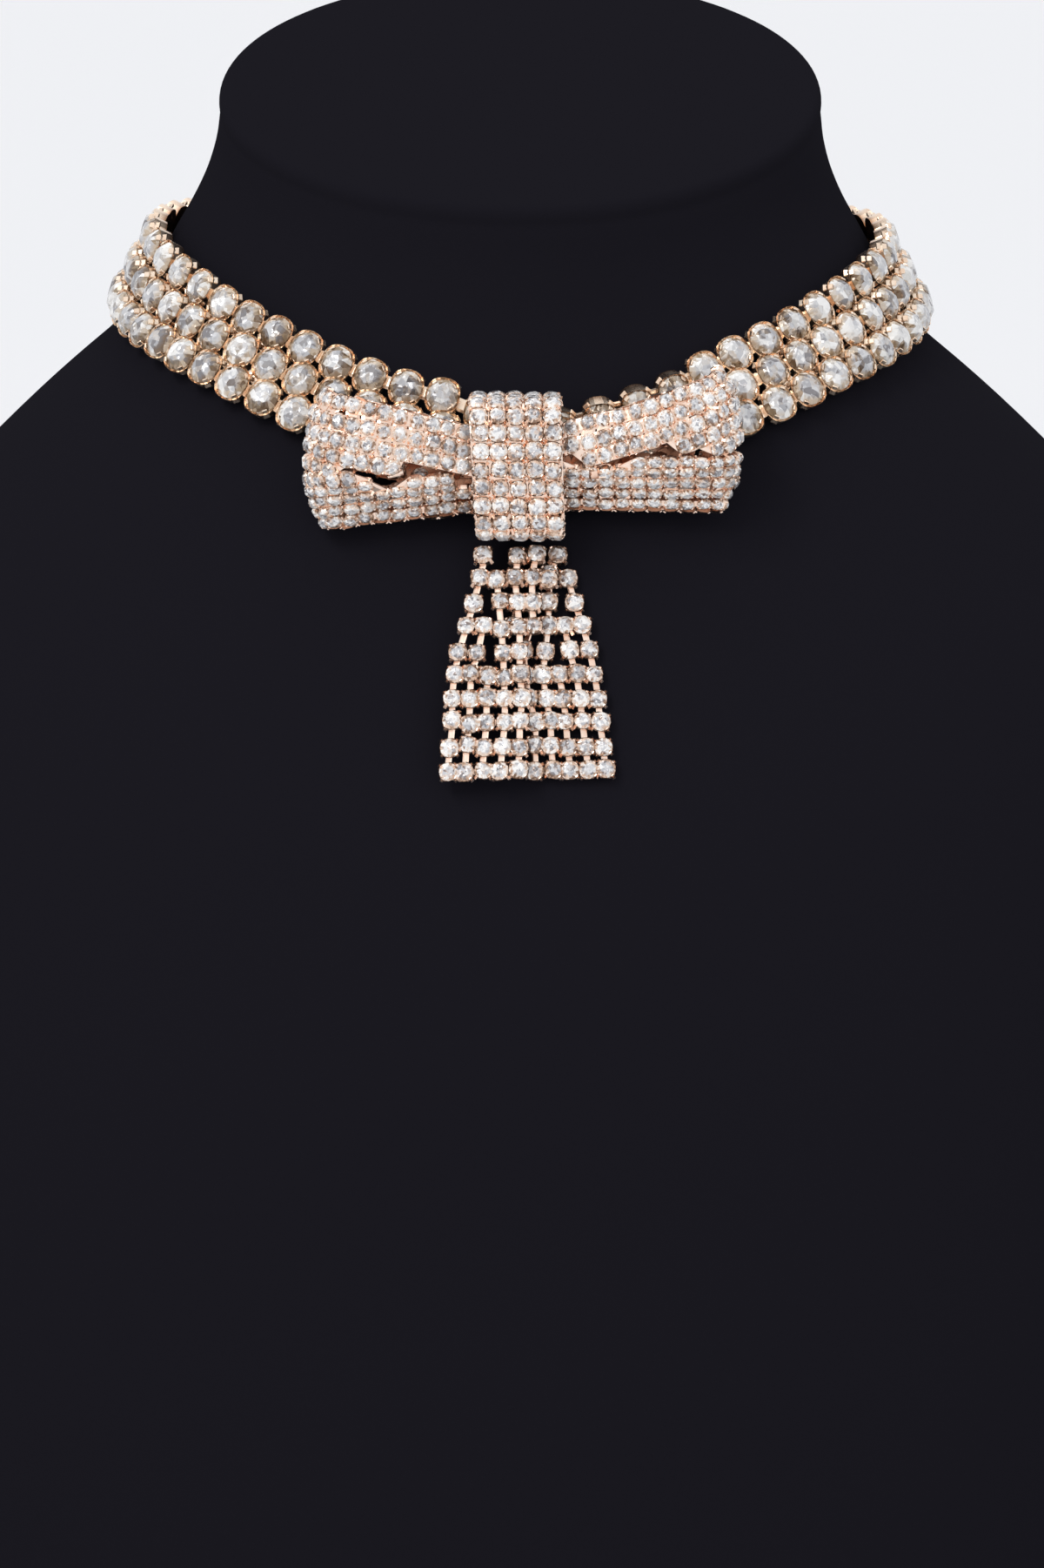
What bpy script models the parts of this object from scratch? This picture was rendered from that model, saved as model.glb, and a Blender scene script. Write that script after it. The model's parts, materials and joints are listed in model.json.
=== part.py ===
"""Choker necklace of rhinestone cup chain with a mesh bow, fastened round a plain black neck bust.

Three rows of set stones run round the neck, a bow of fine stone mesh hangs on them in front, two
pierced tails hang from its knot, and a plain box clasp closes the rows behind.
Metres, +Z up, the wearer's front towards -Y. The origin is the middle of the bust's base.
"""
from math import asin, atan2, cos, exp, floor, log, pi, radians, sin

import bmesh
import bpy
from mathutils import Matrix, Vector
from mathutils.bvhtree import BVHTree

# Clearance kept between neighbouring solids
GAP = 0.0003

# The choker's middle row: an ellipse round the neck that rises to its sides and dips in front
RING_HALF_WIDTH = 0.0582
RING_HALF_DEPTH = 0.0500
RING_CENTRE_Y = 0.0130
RING_SIDE_HEIGHT = 0.2261
RING_RISE = 0.0141
RING_LEVELLING = 0.10
RING_DIP = 0.0091
DIP_SHARPNESS = 3.75
RING_RIGHT_DROP = 0.0014

# How far the rows lean from upright at five places, from the front round to the back, in degrees
LEAN_FRONT = 26.0
LEAN_FRONT_QUARTER = 45.5
LEAN_SIDE = 28.9
LEAN_BACK_QUARTER = 20.0
LEAN_BACK = 12.0

# Cup chain of the choker: pitch along a row, pitch between rows, cup and stone
STONE_PITCH = 0.0058
ROW_PITCH = 0.0052
CUP_WIDTH = 0.0049
CUP_BASE_WIDTH = 0.0042
CUP_HEIGHT = 0.0021
CROWN_HEIGHT = 0.0012
TABLE_WIDTH = 0.0027
FACETS = 8

# Fastening at the back of the neck
CLASP_LENGTH = 0.0090
CLASP_HEIGHT = 0.0110
CLASP_THICKNESS = 0.0030
END_BAR_LENGTH = 0.0022
END_BAR_THICKNESS = 0.0022
FITTING_ROUNDING = 0.0005

# Neck bust
BUST_WIDTH = 0.2080
BUST_DEPTH = 0.1360
NECK_TOP_WIDTH = 0.0940
NECK_TOP_DEPTH = 0.0840
NECK_TOP_CENTRE_Y = 0.0200
NECK_TOP_HEIGHT = 0.2516
NECK_TOP_RISE = 0.0157
NECK_FLARE = 2.00
SEAT_MARGIN = 0.0006
CAP_DEPTH = 0.0021
CAP_ROUNDING = 0.0013
CAP_SEAM_DEPTH = 0.00025
BUST_SEGMENTS = 32

# Bust below the choker. height: share of the seat's own height above the base. width, front and back:
# shares of half the bust's width and depth. squareness: 2 is an ellipse, more is boxier
BUST_SECTION_COLUMNS = ("height", "width", "front", "back", "squareness")
BUST_SECTIONS = (
    (0.000, 0.905, 0.915, 0.915, 2.6),
    (0.012, 0.930, 0.940, 0.940, 2.6),
    (0.120, 0.955, 0.970, 0.975, 2.6),
    (0.450, 1.000, 1.000, 1.000, 2.6),
    (0.700, 1.000, 0.940, 1.000, 2.5),
    (0.780, 0.980, 0.876, 1.000, 2.4),
    (0.840, 0.932, 0.815, 0.990, 2.3),
    (0.887, 0.852, 0.757, 0.982, 2.2),
    (0.949, 0.718, 0.670, 0.968, 2.1),
    (0.985, 0.628, 0.618, 0.955, 2.0),
)

# Bow: two flattened loops of fine stone mesh, whose back legs lie in front of the choker's rows
BOW_LEAN = 8.0
BOW_CLEARANCE = 0.0005
BOW_BACK_HEIGHT = 0.1976
BOW_SWEEP_RADIUS = 0.1700
MESH_THICKNESS = 0.0018
LOOP_DEPTH_OUTER = 0.0090
LOOP_DEPTH_ROOT = 0.0060
WING_ROOT_X = 0.0030
WING_OUTER_X = 0.0276
LEFT_REACH = 0.0323
RIGHT_REACH = 0.0332
LEFT_ROOT_TOP = 0.2056
LEFT_ROOT_HEIGHT = 0.0112
LEFT_OUTER_TOP = 0.2097
LEFT_OUTER_HEIGHT = 0.0176
RIGHT_ROOT_TOP = 0.2065
RIGHT_ROOT_HEIGHT = 0.0111
RIGHT_OUTER_TOP = 0.2124
RIGHT_OUTER_HEIGHT = 0.0176
SLIT_HEIGHT = 0.0010
SLIT_SHARE = 0.545
LEG_STEPS = 6
TURN_STEPS = 6

# Lines of a wing from its top edge to its bottom edge. drop: share of the wing's height from the top
# row to the bottom row. reach: share of the wing's reach. fullness: share of the loop's depth
WING_LINE_COLUMNS = ("drop", "reach", "fullness")
WING_LINES = (
    (-0.06, 0.920, 0.80),
    (0.10, 0.965, 0.95),
    (0.30, 0.994, 1.00),
    (0.50, 1.000, 0.98),
    (0.63, 0.997, 0.90),
    (0.73, 0.988, 0.74),
    (0.83, 0.974, 0.56),
    (0.92, 0.950, 0.40),
    (1.06, 0.915, 0.24),
)

# Knot: a strip of the same mesh that lies over the wings' roots
KNOT_WIDTH = 0.0140
KNOT_FRONT_GAP = 0.0006
KNOT_TOP = 0.2108
KNOT_BOTTOM = 0.1893
KNOT_CORNER_RADIUS = 0.0026
KNOT_CURL_RADIUS = 0.0036
KNOT_BULGE = 0.0008
ARC_STEPS = 5

# Tails: two pierced nets of cup chain that hang from the knot and lie on the bust, one over the other
TAIL_TOP = 0.1863
TAIL_LENGTH = 0.0296
TAIL_HALF_WIDTH = 0.0127
TAIL_COLUMNS = 5
TAIL_BAR_HEIGHT = 0.0022
TAIL_LINK_WIDTH = 0.0008
TAIL_END_MARGIN = 0.0010
NET_THICKNESS = 0.0016
TAIL_LAYER_GAP = 0.0005

# A row of each tail: outer and inner stone as shares of the tails' half width, and the missing stone
TAIL_ROW_COLUMNS = ("left_outer", "left_inner", "left_missing", "right_inner", "right_outer", "right_missing")
TAIL_ROWS = (
    (-0.41, 0.21, 1, -0.15, 0.44, None),
    (-0.45, 0.38, None, -0.23, 0.59, None),
    (-0.55, 0.21, 1, -0.14, 0.65, 3),
    (-0.64, 0.14, None, -0.08, 0.72, None),
    (-0.72, 0.08, 2, 0.00, 0.83, 1),
    (-0.77, 0.03, None, 0.07, 0.88, None),
    (-0.80, 0.01, None, 0.11, 0.93, None),
    (-0.80, 0.01, None, 0.13, 0.95, None),
    (-0.83, -0.01, None, 0.17, 0.98, None),
    (-0.83, -0.02, None, 0.18, 1.00, None),
)

# Colours and finishes read from the photograph
ROSE_GOLD = (0.80, 0.52, 0.36)
CRYSTAL = (0.78, 0.74, 0.72)
BLACK_COVER = (0.011, 0.011, 0.014)


# Small helpers

def clear_scene():
    for thing in list(bpy.data.objects):
        bpy.data.objects.remove(thing)


def new_collection(name):
    collection = bpy.data.collections.new(name)
    bpy.context.scene.collection.children.link(collection)
    return collection


def finish(name, colour, roughness, metallic):
    material = bpy.data.materials.new(name)
    material.use_nodes = True
    shader = material.node_tree.nodes["Principled BSDF"]
    shader.inputs["Base Color"].default_value = (*colour, 1.0)
    shader.inputs["Roughness"].default_value = roughness
    shader.inputs["Metallic"].default_value = metallic
    return material


def place(name, shape, material, collection):
    """Makes one named object from a bmesh."""
    bmesh.ops.recalc_face_normals(shape, faces=shape.faces)
    mesh = bpy.data.meshes.new(name)
    shape.to_mesh(mesh)
    shape.free()
    mesh.materials.append(material)
    thing = bpy.data.objects.new(name, mesh)
    collection.objects.link(thing)
    return thing


def smooth(share):
    """Eases a share between 0 and 1."""
    share = min(max(share, 0.0), 1.0)
    return share * share * (3.0 - 2.0 * share)


def between(low, high, share):
    return low + (high - low) * share


def from_table(rows, names, column, at):
    """Reads a column of a section table at a place between its first and last row."""
    index = names.index(column)
    low = min(int(floor(at)), len(rows) - 2)
    return between(rows[low][index], rows[low + 1][index], at - low)


def power(value, squareness):
    """A superellipse's coordinate from a sine or cosine."""
    return (1.0 if value >= 0 else -1.0) * abs(value) ** (2.0 / squareness)


# The choker's path and the frame of each column of stones

def ring_point(turn):
    """A point of the middle row's seat. turn is 0 in front, pi / 2 on the right and pi behind."""
    forward = cos(turn)
    below_sides = RING_RISE * RING_LEVELLING * log(1.0 + exp(forward / RING_LEVELLING))
    dip = RING_DIP * max(forward, 0.0) ** DIP_SHARPNESS + RING_RIGHT_DROP * max(sin(turn), 0.0)
    return Vector((
        RING_HALF_WIDTH * sin(turn),
        RING_CENTRE_Y - RING_HALF_DEPTH * forward,
        RING_SIDE_HEIGHT - below_sides - dip,
    ))


def row_lean(turn):
    """The lean of a column of stones from upright, in radians."""
    leans = (LEAN_FRONT, LEAN_FRONT_QUARTER, LEAN_SIDE, LEAN_BACK_QUARTER, LEAN_BACK)
    place_in_list = abs(atan2(sin(turn), cos(turn))) / (pi / 4)
    low = min(int(place_in_list), len(leans) - 2)
    return radians(between(leans[low], leans[low + 1], smooth(place_in_list - low)))


def ring_frame(turn):
    """The seat point, and the directions along the row, up the column and out of the neck."""
    step = 1e-4
    along = (ring_point(turn + step) - ring_point(turn - step)).normalized()
    outward = along.cross(Vector((0, 0, 1))).normalized()
    upward = outward.cross(along).normalized()
    lean = row_lean(turn)
    up = upward * cos(lean) - outward * sin(lean)
    out = outward * cos(lean) + upward * sin(lean)
    return ring_point(turn), along, up, out


def row_seat(turn, level):
    """The seat of a stone. level is 1 in the top row, 0 in the middle and -1 at the bottom."""
    seat, _, up, _ = ring_frame(turn)
    return seat + up * (level * ROW_PITCH)


def measured_row(level, side, samples=720):
    """Turns from the front round one side to the back, and the length along the row at each."""
    turns = [side * pi * i / samples for i in range(samples + 1)]
    seats = [row_seat(turn, level) for turn in turns]
    lengths = [0.0]
    for a, b in zip(seats, seats[1:]):
        lengths.append(lengths[-1] + (b - a).length)
    return turns, lengths


def turn_at(length, measured):
    """The turn at a length along a measured row."""
    turns, lengths = measured
    low, high = 0, len(lengths) - 1
    while high - low > 1:
        middle = (low + high) // 2
        if lengths[middle] <= length:
            low = middle
        else:
            high = middle
    share = (length - lengths[low]) / (lengths[high] - lengths[low])
    return between(turns[low], turns[high], share)


def length_at(turn, measured):
    """The length along a measured row at one of its turns."""
    turns, lengths = measured
    place_in_list = turn / turns[-1] * (len(turns) - 1)
    low = min(int(place_in_list), len(turns) - 2)
    return between(lengths[low], lengths[low + 1], place_in_list - low)


def fastening_turns(side):
    """Turns of the last stones and of the end bar's middle on one side of the clasp."""
    measured = measured_row(0, side)
    bar = measured[1][-1] - CLASP_LENGTH / 2 - GAP - END_BAR_LENGTH / 2
    last = bar - END_BAR_LENGTH / 2 - GAP - CUP_WIDTH / 2
    return turn_at(last, measured), turn_at(bar, measured)


def stone_turns(level):
    """The turns of a row's stones, spaced evenly along that row from one end bar to the other."""
    measured = [measured_row(level, side) for side in (-1, 1)]
    reaches = [length_at(fastening_turns(side)[0], row) for side, row in zip((-1, 1), measured)]
    count = round(sum(reaches) / (2 * STONE_PITCH))
    left, right = (
        [turn_at(reach * i / count, row) for i in range(1, count + 1)]
        for reach, row in zip(reaches, measured))
    return left[::-1] + [0.0] + right


def frame_matrix(centre, along, up, out):
    """A matrix whose X runs along the row, Y up the column and Z out of the neck."""
    matrix = Matrix((along, up, out)).transposed().to_4x4()
    matrix.translation = centre
    return matrix


# Choker rows

def add_set_stone(shape, matrix):
    """Adds a faceted cup with its stone and returns its side faces towards and against +X."""
    across_flats = 1.0 / cos(pi / FACETS)
    turned = Matrix.Rotation(pi / FACETS, 4, "Z")
    made = bmesh.ops.create_cone(
        shape, cap_ends=True, segments=FACETS, radius1=CUP_BASE_WIDTH / 2 * across_flats,
        radius2=CUP_WIDTH / 2 * across_flats, depth=CUP_HEIGHT,
        matrix=Matrix.Translation((0, 0, CUP_HEIGHT / 2)) @ turned)
    faces = {face for vertex in made["verts"] for face in vertex.link_faces}
    girdle = max(faces, key=lambda face: face.calc_center_median().z)
    crown = bmesh.ops.extrude_discrete_faces(shape, faces=[girdle])["faces"][0]
    narrowing = TABLE_WIDTH / CUP_WIDTH
    bmesh.ops.scale(shape, vec=(narrowing, narrowing, 1.0), verts=crown.verts)
    bmesh.ops.translate(shape, vec=(0, 0, CROWN_HEIGHT), verts=crown.verts)
    vertices = set(made["verts"]) | set(crown.verts)
    sides = [face for face in faces if face.is_valid and len(face.verts) == 4]
    forward = max(sides, key=lambda face: face.calc_center_median().x)
    backward = min(sides, key=lambda face: face.calc_center_median().x)
    bmesh.ops.transform(shape, matrix=matrix, verts=list(vertices))
    return forward, backward


def build_row(name, level, metal, collection):
    """One row of set stones, each cup linked to the next, from one end of the clasp to the other."""
    shape = bmesh.new()
    ends = []
    for turn in stone_turns(level):
        _, along, up, out = ring_frame(turn)
        ends.append(add_set_stone(shape, frame_matrix(row_seat(turn, level), along, up, out)))
    for (forward, _), (_, backward) in zip(ends, ends[1:]):
        edges = list(forward.edges) + list(backward.edges)
        bmesh.ops.delete(shape, geom=[forward, backward], context="FACES_ONLY")
        bmesh.ops.bridge_loops(shape, edges=edges)
    return place(name, shape, metal, collection)


# Fastening

def rounded_block(name, size, matrix, material, collection):
    """A block with softened edges. size is its length along the row, its height and its thickness."""
    shape = bmesh.new()
    bmesh.ops.create_cube(shape, size=1.0)
    bmesh.ops.scale(shape, vec=size, verts=shape.verts)
    bmesh.ops.bevel(
        shape, geom=list(shape.edges), offset=FITTING_ROUNDING, segments=2, profile=0.5,
        affect="EDGES", material=-1)
    bmesh.ops.transform(shape, matrix=matrix, verts=shape.verts)
    return place(name, shape, material, collection)


def build_fastening(metal, collection):
    """A bar across the ends of the three rows on each side, and the closed clasp between them."""
    bar_height = 2 * ROW_PITCH + CUP_WIDTH
    for side, name in ((-1, "end_bar_left"), (1, "end_bar_right")):
        seat, along, up, out = ring_frame(fastening_turns(side)[1])
        centre = seat + out * (END_BAR_THICKNESS / 2)
        size = (END_BAR_LENGTH, bar_height, END_BAR_THICKNESS)
        rounded_block(name, size, frame_matrix(centre, along, up, out), metal, collection)
    seat, along, up, out = ring_frame(pi)
    centre = seat + out * (CLASP_THICKNESS / 2)
    size = (CLASP_LENGTH, CLASP_HEIGHT, CLASP_THICKNESS)
    rounded_block("clasp", size, frame_matrix(centre, along, up, out), metal, collection)


# Neck bust

def ellipse_ring(half_width, front, back, side_height, rise, squareness=2.0):
    """A closed section: front and back are its limits in Y, rise is how far its back is above its side."""
    centre, half_depth = (front + back) / 2, (back - front) / 2
    ring = []
    for i in range(BUST_SEGMENTS):
        turn = 2 * pi * i / BUST_SEGMENTS
        ring.append(Vector((
            half_width * power(sin(turn), squareness),
            centre - half_depth * power(cos(turn), squareness),
            side_height - rise * cos(turn),
        )))
    return ring


def seat_ring(offset):
    """The bust's surface under the choker, at a distance up the columns from the middle row."""
    ring = []
    for i in range(BUST_SEGMENTS):
        seat, _, up, out = ring_frame(2 * pi * i / BUST_SEGMENTS)
        ring.append(seat + up * offset - out * (GAP + SEAT_MARGIN))
    return ring


def bust_rings():
    """The bust's sections from its base to the top of its neck."""
    seat_low = seat_ring(-ROW_PITCH - CUP_WIDTH / 2)
    seat_high = seat_ring(ROW_PITCH + CUP_BASE_WIDTH / 2)
    rings = []
    for row in BUST_SECTIONS:
        section = dict(zip(BUST_SECTION_COLUMNS, row))
        ring = ellipse_ring(
            section["width"] * BUST_WIDTH / 2, -section["front"] * BUST_DEPTH / 2,
            section["back"] * BUST_DEPTH / 2, 0.0, 0.0, section["squareness"])
        for point, seat in zip(ring, seat_low):
            point.z = section["height"] * seat.z
        rings.append(ring)
    rings += [seat_low, seat_high]
    half_width, half_depth = NECK_TOP_WIDTH / 2, NECK_TOP_DEPTH / 2
    front, back = NECK_TOP_CENTRE_Y - half_depth, NECK_TOP_CENTRE_Y + half_depth

    def top_ring(inset, raised):
        return ellipse_ring(
            half_width - inset, front + inset, back - inset, NECK_TOP_HEIGHT + raised, NECK_TOP_RISE)

    neck = top_ring(0.0, -1.6 * CAP_DEPTH)
    for share in (0.70, 0.40, 0.15):
        flare = share ** NECK_FLARE
        rings.append([
            Vector((between(n.x, s.x, flare), between(n.y, s.y, flare), between(n.z, s.z, share)))
            for n, s in zip(neck, seat_high)])
    rings += [
        neck,
        top_ring(CAP_SEAM_DEPTH, -CAP_DEPTH),
        top_ring(0.0, -CAP_DEPTH / 2),
        top_ring(0.0, 0.0),
        top_ring(CAP_ROUNDING / 3, CAP_ROUNDING * 2 / 3),
        top_ring(CAP_ROUNDING, CAP_ROUNDING),
    ]
    return rings


def loft(rings):
    """A closed skin through rings of equally many points, from the lowest to the highest."""
    shape = bmesh.new()
    loops = [[shape.verts.new(point) for point in ring] for ring in rings]
    for lower, upper in zip(loops, loops[1:]):
        for i in range(len(lower)):
            j = (i + 1) % len(lower)
            shape.faces.new((lower[i], lower[j], upper[j], upper[i]))
    shape.faces.new(list(reversed(loops[0])))
    shape.faces.new(loops[-1])
    return shape


def build_bust(cover, collection):
    shape = loft(bust_rings())
    bmesh.ops.recalc_face_normals(shape, faces=shape.faces)
    tree = BVHTree.FromBMesh(shape)
    place("neck_bust", shape, cover, collection)
    return tree


# Bow wings

def bow_sweep(x, z):
    """How far back the bow lies from its middle, because it leans and sweeps back with the neck."""
    return (z - BOW_BACK_HEIGHT) * sin(radians(BOW_LEAN)) + x * x / (2 * BOW_SWEEP_RADIUS)


def bow_back_y(bust_tree):
    """The Y of the bow's back legs in the middle, where they just clear the bust and the rows."""
    limits = []
    for side in (-1, 1):
        for step in range(2 * LEG_STEPS + 1):
            x = between(WING_ROOT_X, wing_sizes(side)[0], step / (2 * LEG_STEPS))
            for drop in (WING_LINES[0][0], 0.5, WING_LINES[-1][0]):
                z = wing_height(side, drop, x)
                hit = bust_tree.ray_cast(Vector((side * x, -BUST_DEPTH, z)), Vector((0, 1, 0)))[0]
                if hit is not None:
                    limits.append(hit.y - bow_sweep(x, z))
            lowest, highest = wing_height(side, 1.0, x), wing_height(side, 0.0, x)
            turn = side * asin(x / RING_HALF_WIDTH)
            _, _, up, out = ring_frame(turn)
            for level in (-1, 0, 1):
                table = row_seat(turn, level) + out * (CUP_HEIGHT + CROWN_HEIGHT)
                for edge in (-TABLE_WIDTH / 2, TABLE_WIDTH / 2):
                    point = table + up * edge
                    if lowest < point.z < highest:
                        limits.append(point.y - bow_sweep(abs(point.x), point.z))
    return min(limits) - MESH_THICKNESS / 2 - BOW_CLEARANCE


def wing_sizes(side):
    """Reach, root top and height, outer top and height of a wing. side is -1 on the left."""
    if side < 0:
        return LEFT_REACH, LEFT_ROOT_TOP, LEFT_ROOT_HEIGHT, LEFT_OUTER_TOP, LEFT_OUTER_HEIGHT
    return RIGHT_REACH, RIGHT_ROOT_TOP, RIGHT_ROOT_HEIGHT, RIGHT_OUTER_TOP, RIGHT_OUTER_HEIGHT


def wing_height(side, drop, x):
    """The height of a wing's line at a distance x from the middle of the bow."""
    _, root_top, root_height, outer_top, outer_height = wing_sizes(side)
    share = (x - WING_ROOT_X) / (WING_OUTER_X - WING_ROOT_X)
    root = root_top - drop * root_height
    outer = outer_top - drop * outer_height
    return between(root, outer, share)


def wing_line(side, line, back_y):
    """One line of a wing's loop: out along the front leg, round the end and back along the back leg."""
    drop = from_table(WING_LINES, WING_LINE_COLUMNS, "drop", line)
    reach = from_table(WING_LINES, WING_LINE_COLUMNS, "reach", line) * wing_sizes(side)[0]
    fullness = from_table(WING_LINES, WING_LINE_COLUMNS, "fullness", line)
    radius = fullness * LOOP_DEPTH_OUTER / 2
    turn_x = reach - MESH_THICKNESS / 2 - radius
    stations = []
    for i in range(LEG_STEPS):
        share = i / LEG_STEPS
        depth = fullness * between(LOOP_DEPTH_ROOT, LOOP_DEPTH_OUTER, smooth(share))
        stations.append((between(WING_ROOT_X, turn_x, share), depth))
    for i in range(TURN_STEPS + 1):
        angle = pi * i / TURN_STEPS
        stations.append((turn_x + radius * sin(angle), radius * (1 + cos(angle))))
    for i in range(LEG_STEPS):
        stations.append((between(turn_x, WING_ROOT_X, (i + 1) / LEG_STEPS), 0.0))
    points = []
    for x, depth in stations:
        z = wing_height(side, drop, x)
        points.append(Vector((side * x, back_y + bow_sweep(x, z) - depth, z)))
    return points


def build_wing(name, side, mesh_material, collection, cutters, back_y):
    """A loop of stone mesh, open at its top, with the slit that parts its front leg."""
    shape = bmesh.new()
    lines = [
        [shape.verts.new(point) for point in wing_line(side, line, back_y)]
        for line in range(len(WING_LINES))]
    for upper, lower in zip(lines, lines[1:]):
        for i in range(len(upper) - 1):
            corners = (upper[i], upper[i + 1], lower[i + 1], lower[i])
            shape.faces.new(corners if side < 0 else tuple(reversed(corners)))
    wing = place_open(name, shape, mesh_material, collection)
    add_wall(wing, MESH_THICKNESS)
    cutter = slit_cutter(name + "_slit", side, cutters, back_y)
    cut = wing.modifiers.new("slit", "BOOLEAN")
    cut.operation = "DIFFERENCE"
    cut.solver = "EXACT"
    cut.object = cutter
    return wing


def place_open(name, shape, material, collection):
    """Makes one named object from an open surface, whose faces keep their direction."""
    mesh = bpy.data.meshes.new(name)
    shape.to_mesh(mesh)
    shape.free()
    mesh.materials.append(material)
    thing = bpy.data.objects.new(name, mesh)
    collection.objects.link(thing)
    return thing


def add_wall(thing, thickness):
    wall = thing.modifiers.new("wall", "SOLIDIFY")
    wall.thickness = thickness
    wall.offset = 0.0
    wall.use_even_offset = True
    return wall


def slit_cutter(name, side, cutters, back_y):
    """A slanted block along the slit that reaches through the front leg only."""
    start, end = KNOT_WIDTH / 2 + MESH_THICKNESS, WING_OUTER_X
    low = Vector((side * start, 0, wing_height(side, SLIT_SHARE, start)))
    high = Vector((side * end, 0, wing_height(side, SLIT_SHARE, end)))
    run = high - low
    slope = atan2(run.z, abs(run.x)) * side
    middle = (low + high) / 2
    reach = LOOP_DEPTH_OUTER
    rear = back_y + bow_sweep(end, middle.z) - MESH_THICKNESS
    middle.y = rear - reach / 2 - (LOOP_DEPTH_OUTER - LOOP_DEPTH_ROOT) / 2
    shape = bmesh.new()
    bmesh.ops.create_cube(shape, size=1.0)
    bmesh.ops.scale(shape, vec=(run.length, reach, SLIT_HEIGHT), verts=shape.verts)
    turned = Matrix.Rotation(-slope, 4, "Y")
    bmesh.ops.transform(shape, matrix=Matrix.Translation(middle) @ turned, verts=shape.verts)
    cutter = place_open(name, shape, None, cutters)
    cutter.hide_render = True
    cutter.display_type = "WIRE"
    return cutter


# Knot

def knot_path(back_y):
    """The knot's mid line in Y and Z: a lip up to the top row's tables, the face, and the curl below."""
    half = MESH_THICKNESS / 2
    root_front = back_y - LOOP_DEPTH_ROOT - half
    face_y = root_front - KNOT_FRONT_GAP - half
    top_z = KNOT_TOP - half
    seat, _, up, out = ring_frame(0.0)
    tables = seat + out * (CUP_HEIGHT + CROWN_HEIGHT)
    tables_y = tables.y + (top_z - half - tables.z) * up.y / up.z
    path = [(tables_y - GAP, top_z)]
    corner_y = face_y + KNOT_CORNER_RADIUS
    corner_z = top_z - KNOT_CORNER_RADIUS
    for i in range(ARC_STEPS + 1):
        angle = pi / 2 * i / ARC_STEPS
        path.append((corner_y - KNOT_CORNER_RADIUS * sin(angle), corner_z + KNOT_CORNER_RADIUS * cos(angle)))
    curl_z = KNOT_BOTTOM + half + KNOT_CURL_RADIUS
    curl_y = face_y + KNOT_CURL_RADIUS
    path.append((face_y - KNOT_BULGE, (corner_z + curl_z) / 2))
    for i in range(ARC_STEPS + 1):
        angle = pi / 2 * i / ARC_STEPS
        path.append((curl_y - KNOT_CURL_RADIUS * cos(angle), curl_z - KNOT_CURL_RADIUS * sin(angle)))
    return path


def build_knot(material, collection, back_y):
    shape = bmesh.new()
    half = KNOT_WIDTH / 2
    rows = [[shape.verts.new((x, y, z)) for x in (-half, half)] for y, z in knot_path(back_y)]
    for upper, lower in zip(rows, rows[1:]):
        shape.faces.new((upper[0], lower[0], lower[1], upper[1]))
    knot = place_open("bow_knot", shape, material, collection)
    add_wall(knot, MESH_THICKNESS)
    return knot


# Tails

def tail_point(side, row, column, x_shift, z_shift, bust_tree):
    """A point of a tail's mid surface, laid on the bust."""
    chart = dict(zip(TAIL_ROW_COLUMNS, TAIL_ROWS[row]))
    name = "left" if side < 0 else "right"
    share = column / (TAIL_COLUMNS - 1)
    x = between(chart[name + "_outer"], chart[name + "_inner"], share) * TAIL_HALF_WIDTH + x_shift
    z = TAIL_TOP - TAIL_LENGTH * row / (len(TAIL_ROWS) - 1) + z_shift
    hit, normal, _, _ = bust_tree.ray_cast(Vector((x, -BUST_DEPTH, z)), Vector((0, 1, 0)))
    layer = NET_THICKNESS + TAIL_LAYER_GAP if side < 0 else 0.0
    return hit + normal * (GAP + NET_THICKNESS / 2 + layer)


def build_tail(name, side, material, collection, bust_tree):
    """Bars of stones joined by links, with the gaps between them cut through."""
    shape = bmesh.new()
    missing_column = TAIL_ROW_COLUMNS.index("left_missing" if side < 0 else "right_missing")
    inward = -side
    half_link, half_bar = TAIL_LINK_WIDTH / 2, TAIL_BAR_HEIGHT / 2
    stations = [(0, -inward * TAIL_END_MARGIN)]
    for column in range(TAIL_COLUMNS):
        stations += [(column, -inward * half_link), (column, inward * half_link)]
    stations.append((TAIL_COLUMNS - 1, inward * TAIL_END_MARGIN))
    lines = []
    for row in range(len(TAIL_ROWS)):
        for z_shift in (half_bar, -half_bar):
            lines.append([
                shape.verts.new(tail_point(side, row, column, x_shift, z_shift, bust_tree))
                for column, x_shift in stations])
    for line in range(len(lines) - 1):
        row, is_bar = line // 2, line % 2 == 0
        missing = TAIL_ROWS[row][missing_column]
        missing_below = None if is_bar else TAIL_ROWS[row + 1][missing_column]
        for cell in range(len(stations) - 1):
            column = (cell - 1) // 2
            is_link = cell % 2 == 1
            if is_bar:
                gone = missing is not None and 2 * missing <= cell <= 2 * missing + 2
            else:
                gone = not is_link or column in (missing, missing_below)
            if gone:
                continue
            a, b = lines[line], lines[line + 1]
            corners = (a[cell], a[cell + 1], b[cell + 1], b[cell])
            shape.faces.new(corners if side > 0 else tuple(reversed(corners)))
    loose = [vertex for vertex in shape.verts if not vertex.link_faces]
    bmesh.ops.delete(shape, geom=loose, context="VERTS")
    tail = place_open(name, shape, material, collection)
    add_wall(tail, NET_THICKNESS)
    return tail


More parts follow.
